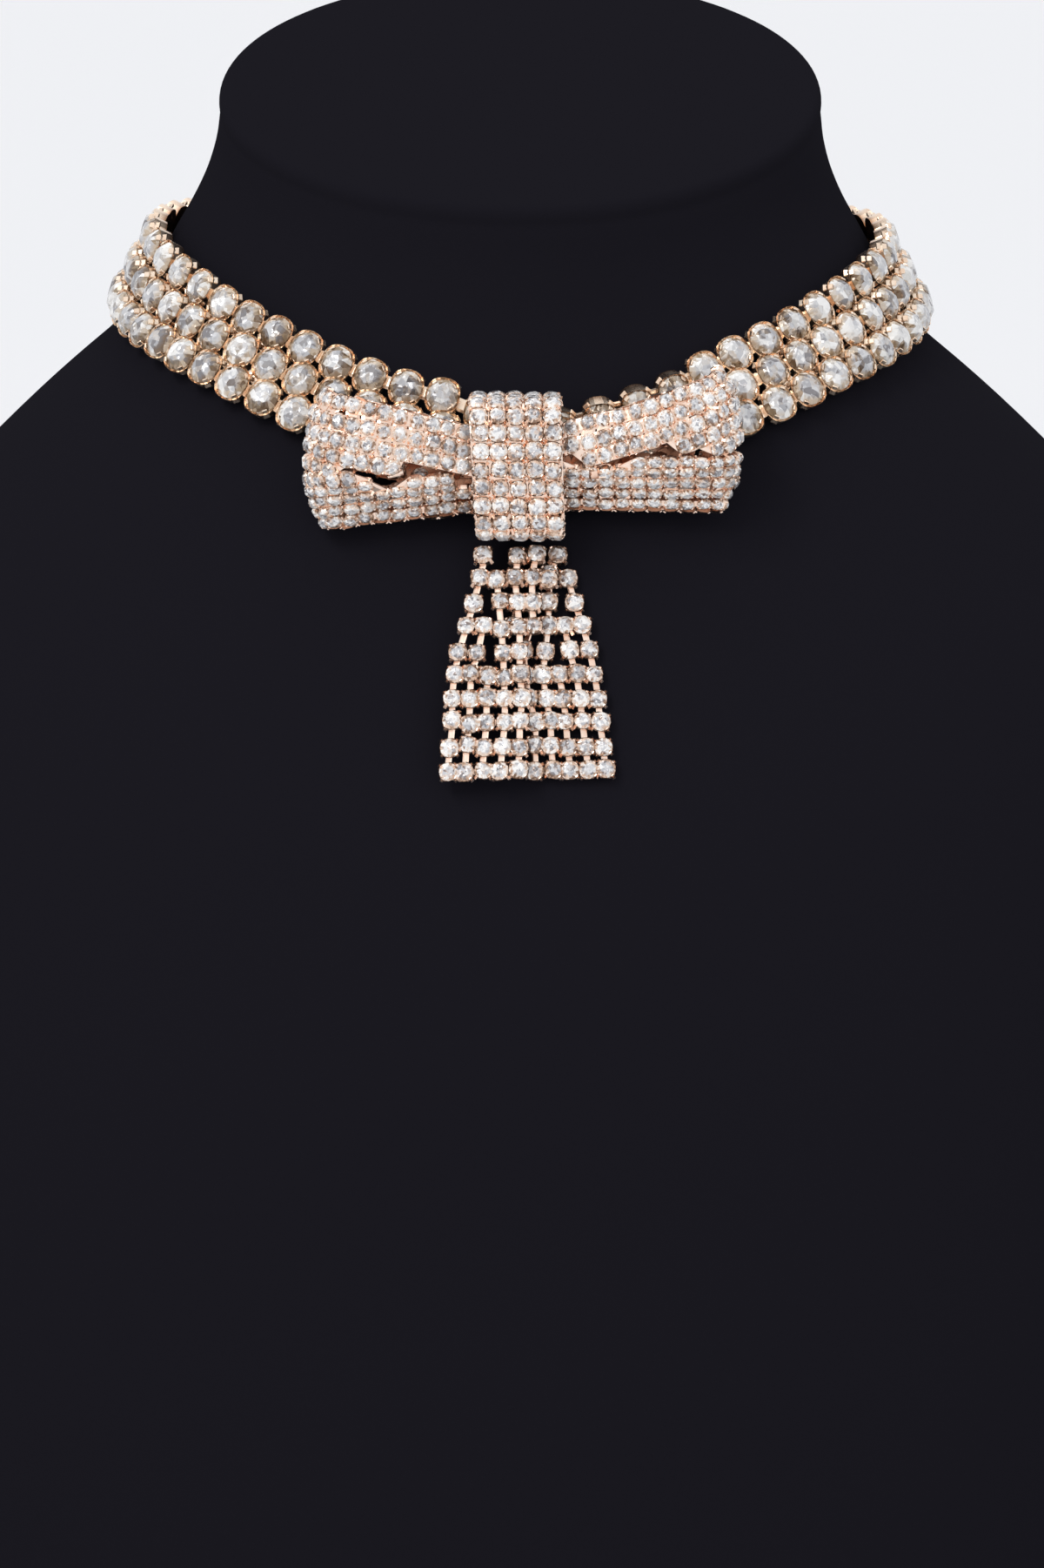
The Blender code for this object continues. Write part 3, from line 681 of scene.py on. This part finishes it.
def table_places(node):
    """The centre and normal of each table in a row, in order round the neck from behind."""
    shape = merged_copy(node)
    bmesh.ops.dissolve_limit(shape, angle_limit=TABLE_FLATNESS, verts=shape.verts, edges=shape.edges)
    area = TABLE_WIDTH ** 2 * 2 * (2 ** 0.5 - 1)
    tables = [
        (face.calc_center_median(), face.normal.copy()) for face in shape.faces
        if len(face.verts) == 8 and abs(face.calc_area() / area - 1) < AREA_TOLERANCE]
    shape.free()
    middle = sum((place for place, _ in tables), Vector()) / len(tables)
    return sorted(tables, key=lambda table: atan2(table[0].x - middle.x, middle.y - table[0].y))


def row_frames(node):
    """Each stone's seat, its direction along the row and its outward direction."""
    tables = table_places(node)
    frames = []
    for i, (place, normal) in enumerate(tables):
        before, after = tables[max(i - 1, 0)][0], tables[min(i + 1, len(tables) - 1)][0]
        outward = Vector((normal.x, normal.y, normal.z * LEAN_KEPT)).normalized()
        frames.append((place - outward * SEAT_DEPTH, (after - before).normalized(), outward))
    return frames


choker = {node: row_frames(node) for node in ROWS}
print("Stones in each row:", [len(frames) for frames in choker.values()])

# %% [markdown]
# The knot pulls the top row down where it passes over it, and the right loop presses the next cups
# forward, so that the photo shows their gold walls from above. A short table says how far each stone
# drops and tips by its distance from the middle.

# %% Let the top row give way under the bow
# distance from the middle, drop, tip in degrees
GIVING_WAY = (
    (-0.012, 0.0, 0.0), (-0.005, 0.0016, 12.0), (0.000, 0.0019, 30.0), (0.007, 0.0027, 42.0),
    (0.012, 0.0012, 50.0), (0.018, 0.0008, 50.0), (0.023, 0.0004, 36.0), (0.029, 0.0, 0.0),
)


def looked_up(table, x):
    """The values at x in a table whose rows start with x, or None beyond its ends."""
    for before, after in zip(table, table[1:]):
        if before[0] <= x < after[0]:
            share = (x - before[0]) / (after[0] - before[0])
            return [a + (b - a) * share for a, b in zip(before[1:], after[1:])]
    return None


def given_way(frame):
    """Drops and tips one stone of the top row by the table."""
    seat, along, outward = frame
    found = looked_up(GIVING_WAY, seat.x)
    if found is None or outward.y >= 0:
        return frame
    drop, tip = found
    return seat - Vector((0, 0, drop)), along, Matrix.Rotation(radians(tip), 3, along) @ outward


choker["choker_row_top"] = [given_way(frame) for frame in choker["choker_row_top"]]
print("The top row gives way between", GIVING_WAY[0][0], "and", GIVING_WAY[-1][0], "m")

# %% [markdown]
# Real cups never sit quite level, and the slight tilts are what make a row glitter unevenly, so each is
# tipped by a few degrees. The cups and stones are a little taller than wide, and each stone is turned at
# random. Links join the cups of a row, and ties join each outer row to the middle one.

# %% Build the rows
STONE_TILT = radians(3.5)
LINK_HEIGHT = 0.0009
LINK_WIDTH = 0.0020
LINK_THICKNESS = 0.0007
TIE_WIDTH = 0.0022
CUSHION = Matrix.Diagonal((0.97, 1.06, 1.0, 1.0))
END_LINK_REACH = 0.0033


def tilted(matrix, most):
    """Tips a cup and its stone by up to that angle."""
    for axis in "XY":
        matrix = matrix @ Matrix.Rotation(rng.uniform(-most, most), 4, axis)
    return matrix


def joined(a, b, height, width, thickness):
    """A link between two seats, at a height above them."""
    return span(a[0] + a[2] * height, b[0] + b[2] * height, a[2] + b[2], width, thickness)


def end_link(frame, side):
    """The link from a row's last cup to its end bar."""
    seat, along, outward = frame
    end = (seat + along * side * END_LINK_REACH, along, outward)
    return joined(frame, end, LINK_HEIGHT, LINK_WIDTH, LINK_THICKNESS)


for node, frames in choker.items():
    short = node.replace("choker_", "")
    seats = [tilted(stand_on(*frame), STONE_TILT) @ CUSHION for frame in frames]
    stones = [seat @ Matrix.Rotation(rng.uniform(0, 2 * pi), 4, "Z") for seat in seats]
    gather(short + "_stones", big_stone, stones, node, shift_pattern=True)
    gather(short + "_cups", big_cup, seats, node)
    links = [joined(a, b, LINK_HEIGHT, LINK_WIDTH, LINK_THICKNESS) for a, b in zip(frames, frames[1:])]
    links += [end_link(frames[0], -1), end_link(frames[-1], 1)]
    gather(short + "_links", pale_link, links, node)

ties = []
for row in ("choker_row_top", "choker_row_bottom"):
    for frame_a in choker[row]:
        near = min(choker["choker_row_middle"], key=lambda b: (b[0] - frame_a[0]).length)
        ties.append(joined(frame_a, near, LINK_HEIGHT, TIE_WIDTH, LINK_THICKNESS))
gather("row_ties", pale_link, ties, "choker_row_middle")
print("The rows are set and joined by", len(ties), "ties")

# %% [markdown]
# ## Wrapping stone mesh over a form
# The bow is made of mesh: small cups in straight rows, each linked to its neighbours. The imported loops
# and knot give the form, and a row of stones has to follow it at an even pitch. The script walks round
# the form with rays that strike it from outside, which gives a chain of surface points, and then steps
# along that chain by the pitch of the mesh.

# %% Walk round a form
SMALL_HEIGHT = SMALL_GIRDLE_BASE + SMALL_GIRDLE + SMALL_CROWN
FAR = 0.2
NEAR = 0.03
CHART_STEPS, STEPS_BEFORE, STEPS_AFTER = 48, 12, 32
LEG_STEPS, TURN_STEPS = 36, 24


def strike(tree, start, toward):
    """The surface point and normal that a ray meets, or None."""
    place, normal, _, _ = tree.ray_cast(Vector(start), Vector(toward).normalized())
    return None if place is None else (place, normal)


def spaced(outline, pitch, offset=0.0):
    """Steps along a chain of (place, normal) by a pitch and returns (place, direction, normal)."""
    steps = []
    wanted, walked = offset, 0.0
    for (a, a_normal), (b, b_normal) in zip(outline, outline[1:]):
        stretch = (b - a).length
        while stretch > 0 and wanted <= walked + stretch:
            share = (wanted - walked) / stretch
            normal = a_normal.lerp(b_normal, share).normalized()
            steps.append((a.lerp(b, share), (b - a).normalized(), normal))
            wanted += pitch
        walked += stretch
    return steps


def height_line(front):
    """A function that gives the height of a row at a distance from the bow's middle."""
    def height_at(x):
        for (a, _), (b, _) in zip(front, front[1:]):
            if abs(b.x) >= x:
                break
        share = (x - abs(a.x)) / (abs(b.x) - abs(a.x))
        return a.z + (b.z - a.z) * share
    return height_at


def charted_front(tree, knot_pixel, end_pixel, bulge, turn_x):
    """Where a line of pixels, bulging upwards and drawn on past its ends, meets the front of a loop."""
    front = []
    for i in range(-STEPS_BEFORE, CHART_STEPS + STEPS_AFTER):
        share = i / CHART_STEPS
        x = knot_pixel[0] + (end_pixel[0] - knot_pixel[0]) * share
        rise = bulge * sin(pi * min(max(share, 0.0), 1.0))
        y = knot_pixel[1] + (end_pixel[1] - knot_pixel[1]) * share - rise
        met = strike(tree, CAMERA_PLACE, sight(x, y))
        if met is not None and abs(met[0].x) >= turn_x:
            break
        if met is not None and met[1].y < 0:
            front.append(met)
    return front


def loop_outline(tree, side, front, turn_x):
    """Round the outside of one bow loop: its front leg, round its end and back behind."""
    height_at = height_line(front)
    rear = strike(tree, (side * turn_x, FAR, height_at(turn_x)), (0, -1, 0))
    if rear is None:
        return list(front)
    centre_y = (front[-1][0].y + rear[0].y) / 2
    radius = (rear[0].y - front[-1][0].y) / 2
    outline = list(front)
    for i in range(TURN_STEPS + 1):
        angle = pi * i / TURN_STEPS
        away = Vector((side * sin(angle), -cos(angle), 0))
        height = height_at(turn_x + radius * sin(angle))
        outline.append(strike(tree, Vector((side * turn_x, centre_y, height)) + away * NEAR, -away))
    root_x = abs(front[0][0].x)
    for i in range(LEG_STEPS):
        x = turn_x + (root_x - turn_x) * (i + 1) / LEG_STEPS
        outline.append(strike(tree, (side * x, FAR, height_at(x)), (0, -1, 0)))
    return [point for point in outline if point is not None]


# %% [markdown]
# ## The bow's loops
# Seen in the photo, each loop has an upper band whose rows run down to the knot and a lower band that
# folds away from the viewer, with a slit between them that opens and closes. The rows were charted: the
# pixel height of each at the knot and at the loop's end. The slit was charted too, as points with the
# pixel heights of its upper and lower edge. Rows that would cross it stop at it, but all of them run round
# the end and along the back.

# %% Loops of stone mesh
MESH_PITCH = 0.00242
WINGS = {
    "bow_wing_left": {
        "side": -1, "knot_x": 531, "end_x": 372,
        "upper": ((494, 456), (515, 481), (536, 501), (557, 521), (578, 541)),
        "lower": ((584, 604), (572, 592), (561, 579), (550, 567), (539, 554)),
        "bulge": 0.0, "open": (384, 466),
        "slit": (
            (372, 553, 550), (384, 553, 547), (386, 541, 547), (415, 545, 549), (426, 548, 558),
            (440, 549, 559), (455, 553, 560), (462, 553, 560), (483, 553, 552), (487, 541, 550),
            (500, 541, 548), (515, 541, 549), (526, 546, 552), (531, 548, 560), (552, 548, 560),
        ),
    },
    "bow_wing_right": {
        "side": 1, "knot_x": 663, "end_x": 829,
        "upper": ((489, 434), (510, 454), (531, 475), (552, 496), (573, 517)),
        "lower": ((580, 583), (569, 571), (558, 558), (547, 545), (536, 532)),
        "bulge": -4.0, "open": (790, 812),
        "slit": (
            (645, 523, 540), (672, 524, 540), (674, 535, 532), (690, 535, 532), (693, 531, 545),
            (716, 529, 545), (719, 523, 528), (754, 521, 528), (757, 517, 527), (776, 517, 529),
            (779, 530, 530), (795, 530, 530), (797, 517, 529), (810, 517, 529), (812, 532, 521),
            (832, 532, 521),
        ),
    },
}
UPPER_REACH, LOWER_REACH = 6.0, 1.0
TURN_INSET = 0.0048
BACK_LEG_DROP = 0.0011
BAND_ROWS = 5
LEAST_PRESS, MOST_PRESS = 0.72, 1.06


def pixel_of(place):
    """Where a point appears in the photo."""
    offset = place - CAMERA_PLACE
    depth = offset.dot(FORWARD)
    return (
        PICTURE_CENTRE[0] + LENS_PIXELS * offset.x / depth,
        PICTURE_CENTRE[1] - LENS_PIXELS * offset.dot(UPWARD) / depth,
    )


def blocks_slit(chart, upper, place, in_front):
    """True for a stone that would cover the slit, or be seen through its open part from behind."""
    x, y = pixel_of(place)
    edges = looked_up(chart["slit"], x)
    if edges is None:
        return False
    if in_front:
        return y > edges[0] - UPPER_REACH if upper else y < edges[1] + LOWER_REACH
    first, last = chart["open"]
    return first < x < last and edges[0] - UPPER_REACH < y < edges[1] + UPPER_REACH


def wing_rows(node):
    """The stones of one loop, row by row from the top, and how far each row is pressed together."""
    chart = WINGS[node]
    tree = tree_of(node)
    low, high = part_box(node)
    turn_x = max(abs(low[0]), abs(high[0])) - TURN_INSET
    charted = [(band, ends) for band in ("upper", "lower") for ends in chart[band]]
    fronts = [
        charted_front(
            tree, (chart["knot_x"], knot_y), (chart["end_x"], end_y),
            chart["bulge"] if band == "upper" else 0.0, turn_x)
        for band, (knot_y, end_y) in charted]
    rows, presses = [], []
    for i, ((band, _), front) in enumerate(zip(charted, fronts)):
        row = []
        for place, along, normal in spaced(loop_outline(tree, chart["side"], front, turn_x), MESH_PITCH):
            if blocks_slit(chart, band == "upper", place, normal.y < 0):
                continue
            share_down = i / (len(charted) - 1)
            lowered = Vector((0, 0, BACK_LEG_DROP * max(normal.y, 0.0) * (1 - share_down)))
            row.append((place - normal * SMALL_HEIGHT - lowered, along, normal))
        rows.append(row)
        other = fronts[i - 1] if i % BAND_ROWS else fronts[i + 1]
        spacing = min((front[len(front) // 2][0] - point).length for point, _ in other)
        presses.append(min(max(spacing / CUP_SIDE, LEAST_PRESS), MOST_PRESS))
    return rows, presses


NET_LINK_THICKNESS = 0.0005
TOUCHING = 0.0029


def net_links(rows, reach, slant, height, width, presses=None):
    """Links every stone to the nearest one of the next row and to the neighbours that it touches."""
    matrices = []
    for row, following in zip(rows, rows[1:]):
        for a in row:
            near = min(following, key=lambda b: (b[0] - a[0]).length, default=None)
            if near is None:
                continue
            step = near[0] - a[0]
            if step.length <= reach and abs(step.dot(a[1])) <= slant:
                matrices.append(joined(a, near, height, width, NET_LINK_THICKNESS))
    for row, press in zip(rows, presses or [1.0] * len(rows)):
        for a, b in zip(row, row[1:]):
            if (b[0] - a[0]).length < TOUCHING:
                matrices.append(joined(a, b, height, width * press ** 2, NET_LINK_THICKNESS))
    return matrices


def hangers(row, above, height, width):
    """Links from the first row of a tail up to the stones it hangs from."""
    nearest = [min(above, key=lambda b: (b[0] - a[0]).length) for a in row]
    return [joined(a, near, height, width, NET_LINK_THICKNESS) for a, near in zip(row, nearest)]


MESH_TILT = radians(8.0)
MESH_SLIP = 0.00012
MESH_GROWTH = 0.06


def uneven(matrix):
    """Moves, tips, turns and grows a cup a little, as it sits in a hand-made mesh."""
    slip_x, slip_y = rng.uniform(-1, 1) * MESH_SLIP, rng.uniform(-1, 1) * MESH_SLIP
    matrix = matrix @ Matrix.Translation((slip_x, slip_y, 0))
    for axis in "XYZ":
        matrix = matrix @ Matrix.Rotation(rng.uniform(-MESH_TILT, MESH_TILT), 4, axis)
    return matrix @ Matrix.Scale(1 + rng.uniform(-MESH_GROWTH, MESH_GROWTH), 4)


def set_mesh(node, rows, size, links, presses=None):
    """Fills charted places with small stones in cups of a relative size, and links them."""
    seats, stones = [], []
    for row, press in zip(rows, presses or [1.0] * len(rows)):
        grown = Matrix.Diagonal((size, size * press, 1.0, 1.0))
        for place in row:
            seat = uneven(stand_on(*place))
            seats.append(seat @ grown)
            stones.append(seat @ grown @ Matrix.Rotation(rng.uniform(0, 2 * pi), 4, "Z"))
    gather(node + "_stones", small_stone, stones, node, shift_pattern=True)
    gather(node + "_cups", small_cup, seats, node)
    gather(node + "_links", link, links, node)
    print(node, "has", len(stones), "stones in", len(rows), "rows")


WING_CUP_SIZE = 0.98
WING_NET = {"reach": 0.0034, "slant": 0.0034, "height": 0.00085, "width": 0.0021}

for node in WINGS:
    rows, presses = wing_rows(node)
    set_mesh(node, rows, WING_CUP_SIZE, net_links(rows, **WING_NET, presses=presses), presses)

# %% [markdown]
# ## The knot
# The knot is a strip five stones wide that comes over the choker's top, runs down the front and curls
# under. Its form is the same from side to side, so one outline in the middle, found by rays from a fan of
# directions, serves all five columns. The strip narrows and drifts to the right a little on its way down.
# Its links are wide and lie deep, so that dark gold shows between the cups, and no hole.

# %% Knot
KNOT_COLUMNS = 5
KNOT_COLUMN_PITCH = 0.00272
KNOT_ROW_PITCH = 0.00276
KNOT_FIRST_ROW = 0.0012
KNOT_SHIFT = -0.0004
KNOT_DRIFT = 0.0009
KNOT_SQUEEZE = 0.04
KNOT_HEART = 0.0012
KNOT_RAYS = 240
KNOT_RAY_LENGTH = 0.05
GRAZING = 0.02
KNOT_CUP_SIZE = 1.08
KNOT_NET = {"reach": 0.0034, "slant": 0.0034, "height": 0.00045, "width": 0.0027}


def knot_outline(tree, low, high):
    """Down the outside of the knot from its back edge above to its back edge below."""
    centre = Vector((0.0, high[1] - KNOT_HEART, (low[2] + high[2]) / 2))
    outline = []
    for i in range(KNOT_RAYS + 1):
        angle = pi * (i / KNOT_RAYS)
        away = Vector((0.0, -sin(angle), cos(angle)))
        met = strike(tree, centre + away * KNOT_RAY_LENGTH, -away)
        if met is not None and met[1].dot(away) > GRAZING:
            outline.append(met)
    return outline


def knot_rows():
    """Five stones side by side at each step down the knot."""
    low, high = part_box("bow_knot")
    outline = knot_outline(tree_of("bow_knot"), low, high)
    rows = []
    for place, _, normal in spaced(outline, KNOT_ROW_PITCH, KNOT_FIRST_ROW):
        share = (high[2] - place.z) / (high[2] - low[2])
        row = []
        for column in range(KNOT_COLUMNS):
            x = (column - (KNOT_COLUMNS - 1) / 2) * KNOT_COLUMN_PITCH * (1 - KNOT_SQUEEZE * share)
            centre = Vector((x + KNOT_SHIFT + KNOT_DRIFT * (share - 0.5), place.y, place.z))
            row.append((centre - normal * SMALL_HEIGHT, Vector((1, 0, 0)), normal))
        rows.append(row)
    return rows


knot = knot_rows()
set_mesh("bow_knot", knot, KNOT_CUP_SIZE, net_links(knot, **KNOT_NET))

# %% [markdown]
# ## The tails
# Each tail is a net: bars of stones joined side by side, with short links down to the next row and open
# windows where the black bust shows. The stones were charted row by row from the photo. A ray through
# each charted pixel finds the bust behind it, and the stone stands off the bust by the height of the net,
# one layer more for the tail that lies on top. That moves it in the picture, so the ray is aimed again
# until the stone itself lies on its pixel.

# %% Tails
TAIL_STAND_OFF = {"bow_tail_left": 0.0024, "bow_tail_right": 0.0003}
# each row's pixel height, and the pixels of its stones
TAIL_CHART = {
    "bow_tail_left": (
        (637, (557, 595, 616)),
        (662, (551, 571, 592, 612, 632)),
        (690, (544, 573, 594, 612)),
        (718, (536, 555, 576, 597, 614)),
        (747, (527, 549, 578, 599)),
        (774, (522, 541, 560, 579, 599)),
        (801, (519, 540, 559, 580, 601)),
        (828, (520, 539, 559, 580, 599)),
        (857, (517, 536, 556, 577, 597)),
        (884, (514, 534, 554, 575, 595)),
    ),
    "bow_tail_right": (
        (636, (597, 616, 640)),
        (661, (592, 612, 632, 653)),
        (689, (594, 612, 631, 661)),
        (717, (590, 611, 630, 650, 670)),
        (746, (602, 627, 654, 678)),
        (774, (604, 624, 643, 663, 684)),
        (801, (608, 628, 648, 667, 688)),
        (828, (616, 633, 651, 670, 690)),
        (857, (615, 634, 653, 673, 694)),
        (884, (616, 636, 656, 677, 696)),
    ),
}
TAIL_UNEVENNESS = 1.5
AIM_TRIES = 4
TAIL_CUP_SIZE = 1.12
TAIL_LINK = {"height": 0.00045, "width": 0.0009}
bust_tree = tree_of("neck_bust")


def over_bust(x, y, height):
    """The point at a height above the bust that appears at a pixel, and the bust's normal there."""
    aim_x, aim_y = x, y
    for _ in range(AIM_TRIES):
        place, normal, _, _ = bust_tree.ray_cast(CAMERA_PLACE, sight(aim_x, aim_y))
        seen_x, seen_y = pixel_of(place + normal * height)
        aim_x, aim_y = aim_x + x - seen_x, aim_y + y - seen_y
    return place + normal * height, normal


def tail_rows(node):
    """The stones of one tail by its chart."""
    rows = []
    for y, charted in TAIL_CHART[node]:
        row = []
        for x in charted:
            uneven_y = y + rng.uniform(-TAIL_UNEVENNESS, TAIL_UNEVENNESS)
            place, normal = over_bust(x, uneven_y, TAIL_STAND_OFF[node] + SMALL_HEIGHT)
            row.append((place - normal * SMALL_HEIGHT, Vector((1, 0, 0)), normal))
        rows.append(row)
    return rows


for node in TAIL_CHART:
    rows = tail_rows(node)
    links = net_links(rows, reach=0.0050, slant=0.0012, **TAIL_LINK)
    links += hangers(rows[0], knot[-1], **TAIL_LINK)
    set_mesh(node, rows, TAIL_CUP_SIZE, links)

# %% [markdown]
# ## The bust
# The stand is a plain moulded form covered in black velvet, cut off by a slanted cap. Velvet swallows
# light from the front and glows faintly where the pile is seen edge-on, which a weak sheen imitates. The
# packed bust is coarse, so its quads are joined up again and subdivided. The edge of the base is creased
# so that it stays crisp, and the edge of the cap a little.

# %% Bust
VELVET = {
    "Base Color": (0.0085, 0.0080, 0.0112, 1.0), "Roughness": 1.0, "Specular IOR Level": 0.0,
    "Sheen Weight": 0.004, "Sheen Roughness": 0.5,
}
PILE_SCALE = 3000.0
PILE_DETAIL = 2.0
PILE_STRENGTH = 0.25
PILE_HEIGHT = 0.0002


def make_velvet():
    material, shader, nodes, links = new_material("black_velvet", VELVET)
    bump = nodes.new("ShaderNodeBump")
    bump.inputs["Strength"].default_value = PILE_STRENGTH
    bump.inputs["Distance"].default_value = PILE_HEIGHT
    links.new(noise(nodes, links, PILE_SCALE, PILE_DETAIL), bump.inputs["Height"])
    links.new(bump.outputs["Normal"], shader.inputs["Normal"])
    return material


BUST_FLATNESS = radians(0.1)
QUAD_BEND = radians(40)
CAP_CORNERS = 8
BASE_HEIGHT = 0.01
BASE_CREASE, CAP_CREASE = 1.0, 0.3


def add_bust():
    """The bust with its quads put back, its caps creased, and rounded by subdivision."""
    shape = merged_copy("neck_bust")
    bmesh.ops.dissolve_limit(shape, angle_limit=BUST_FLATNESS, verts=shape.verts, edges=shape.edges)
    triangles = [face for face in shape.faces if len(face.verts) == 3]
    bmesh.ops.join_triangles(
        shape, faces=triangles, angle_face_threshold=QUAD_BEND, angle_shape_threshold=QUAD_BEND)
    crease = shape.edges.layers.float.new("crease_edge")
    for face in shape.faces:
        if len(face.verts) > CAP_CORNERS:
            for edge in face.edges:
                edge[crease] = BASE_CREASE if face.calc_center_median().z < BASE_HEIGHT else CAP_CREASE
    for face in shape.faces:
        face.smooth = True
    mesh = finished_mesh("bust_cover", shape, make_velvet())
    piece = set_piece("velvet_bust", mesh, "neck_bust")
    rounding = piece.modifiers.new("rounding", "SUBSURF")
    rounding.levels = rounding.render_levels = 2
    print("The bust keeps", len(mesh.polygons), "faces before it is rounded")


add_bust()

# %% [markdown]
# ## The fastening
# Behind the neck the three rows end in small bars, and a box clasp joins them. The photo doesn't show it.
# The plain blocks of the model already have the right size, so each is refined in place: the outer face
# is inset and sunk a little, which leaves a raised frame like that of a pressed clasp.

# %% Clasp and end bars
BLOCK_FLATNESS = radians(1.0)
BACKWARD_BIAS = 0.1


def refine_block(name, node, frame_width, sink):
    """The block with its largest face, the one that looks backwards, sunk inside a frame."""
    shape = merged_copy(node)
    bmesh.ops.dissolve_limit(shape, angle_limit=BLOCK_FLATNESS, verts=shape.verts, edges=shape.edges)
    outer = max(
        shape.faces, key=lambda face: face.calc_area() * (1 + face.normal.y * BACKWARD_BIAS))
    bmesh.ops.inset_region(shape, faces=[outer], thickness=frame_width, depth=0.0)
    bmesh.ops.inset_region(shape, faces=[outer], thickness=sink, depth=-sink)
    set_piece(name, finished_mesh(name, shape, rose_gold), node)


refine_block("clasp_body", "clasp", frame_width=0.0008, sink=0.00025)
for side in ("left", "right"):
    refine_block("bar_" + side, "end_bar_" + side, frame_width=0.0004, sink=0.00015)
print("The clasp and the end bars have raised frames")
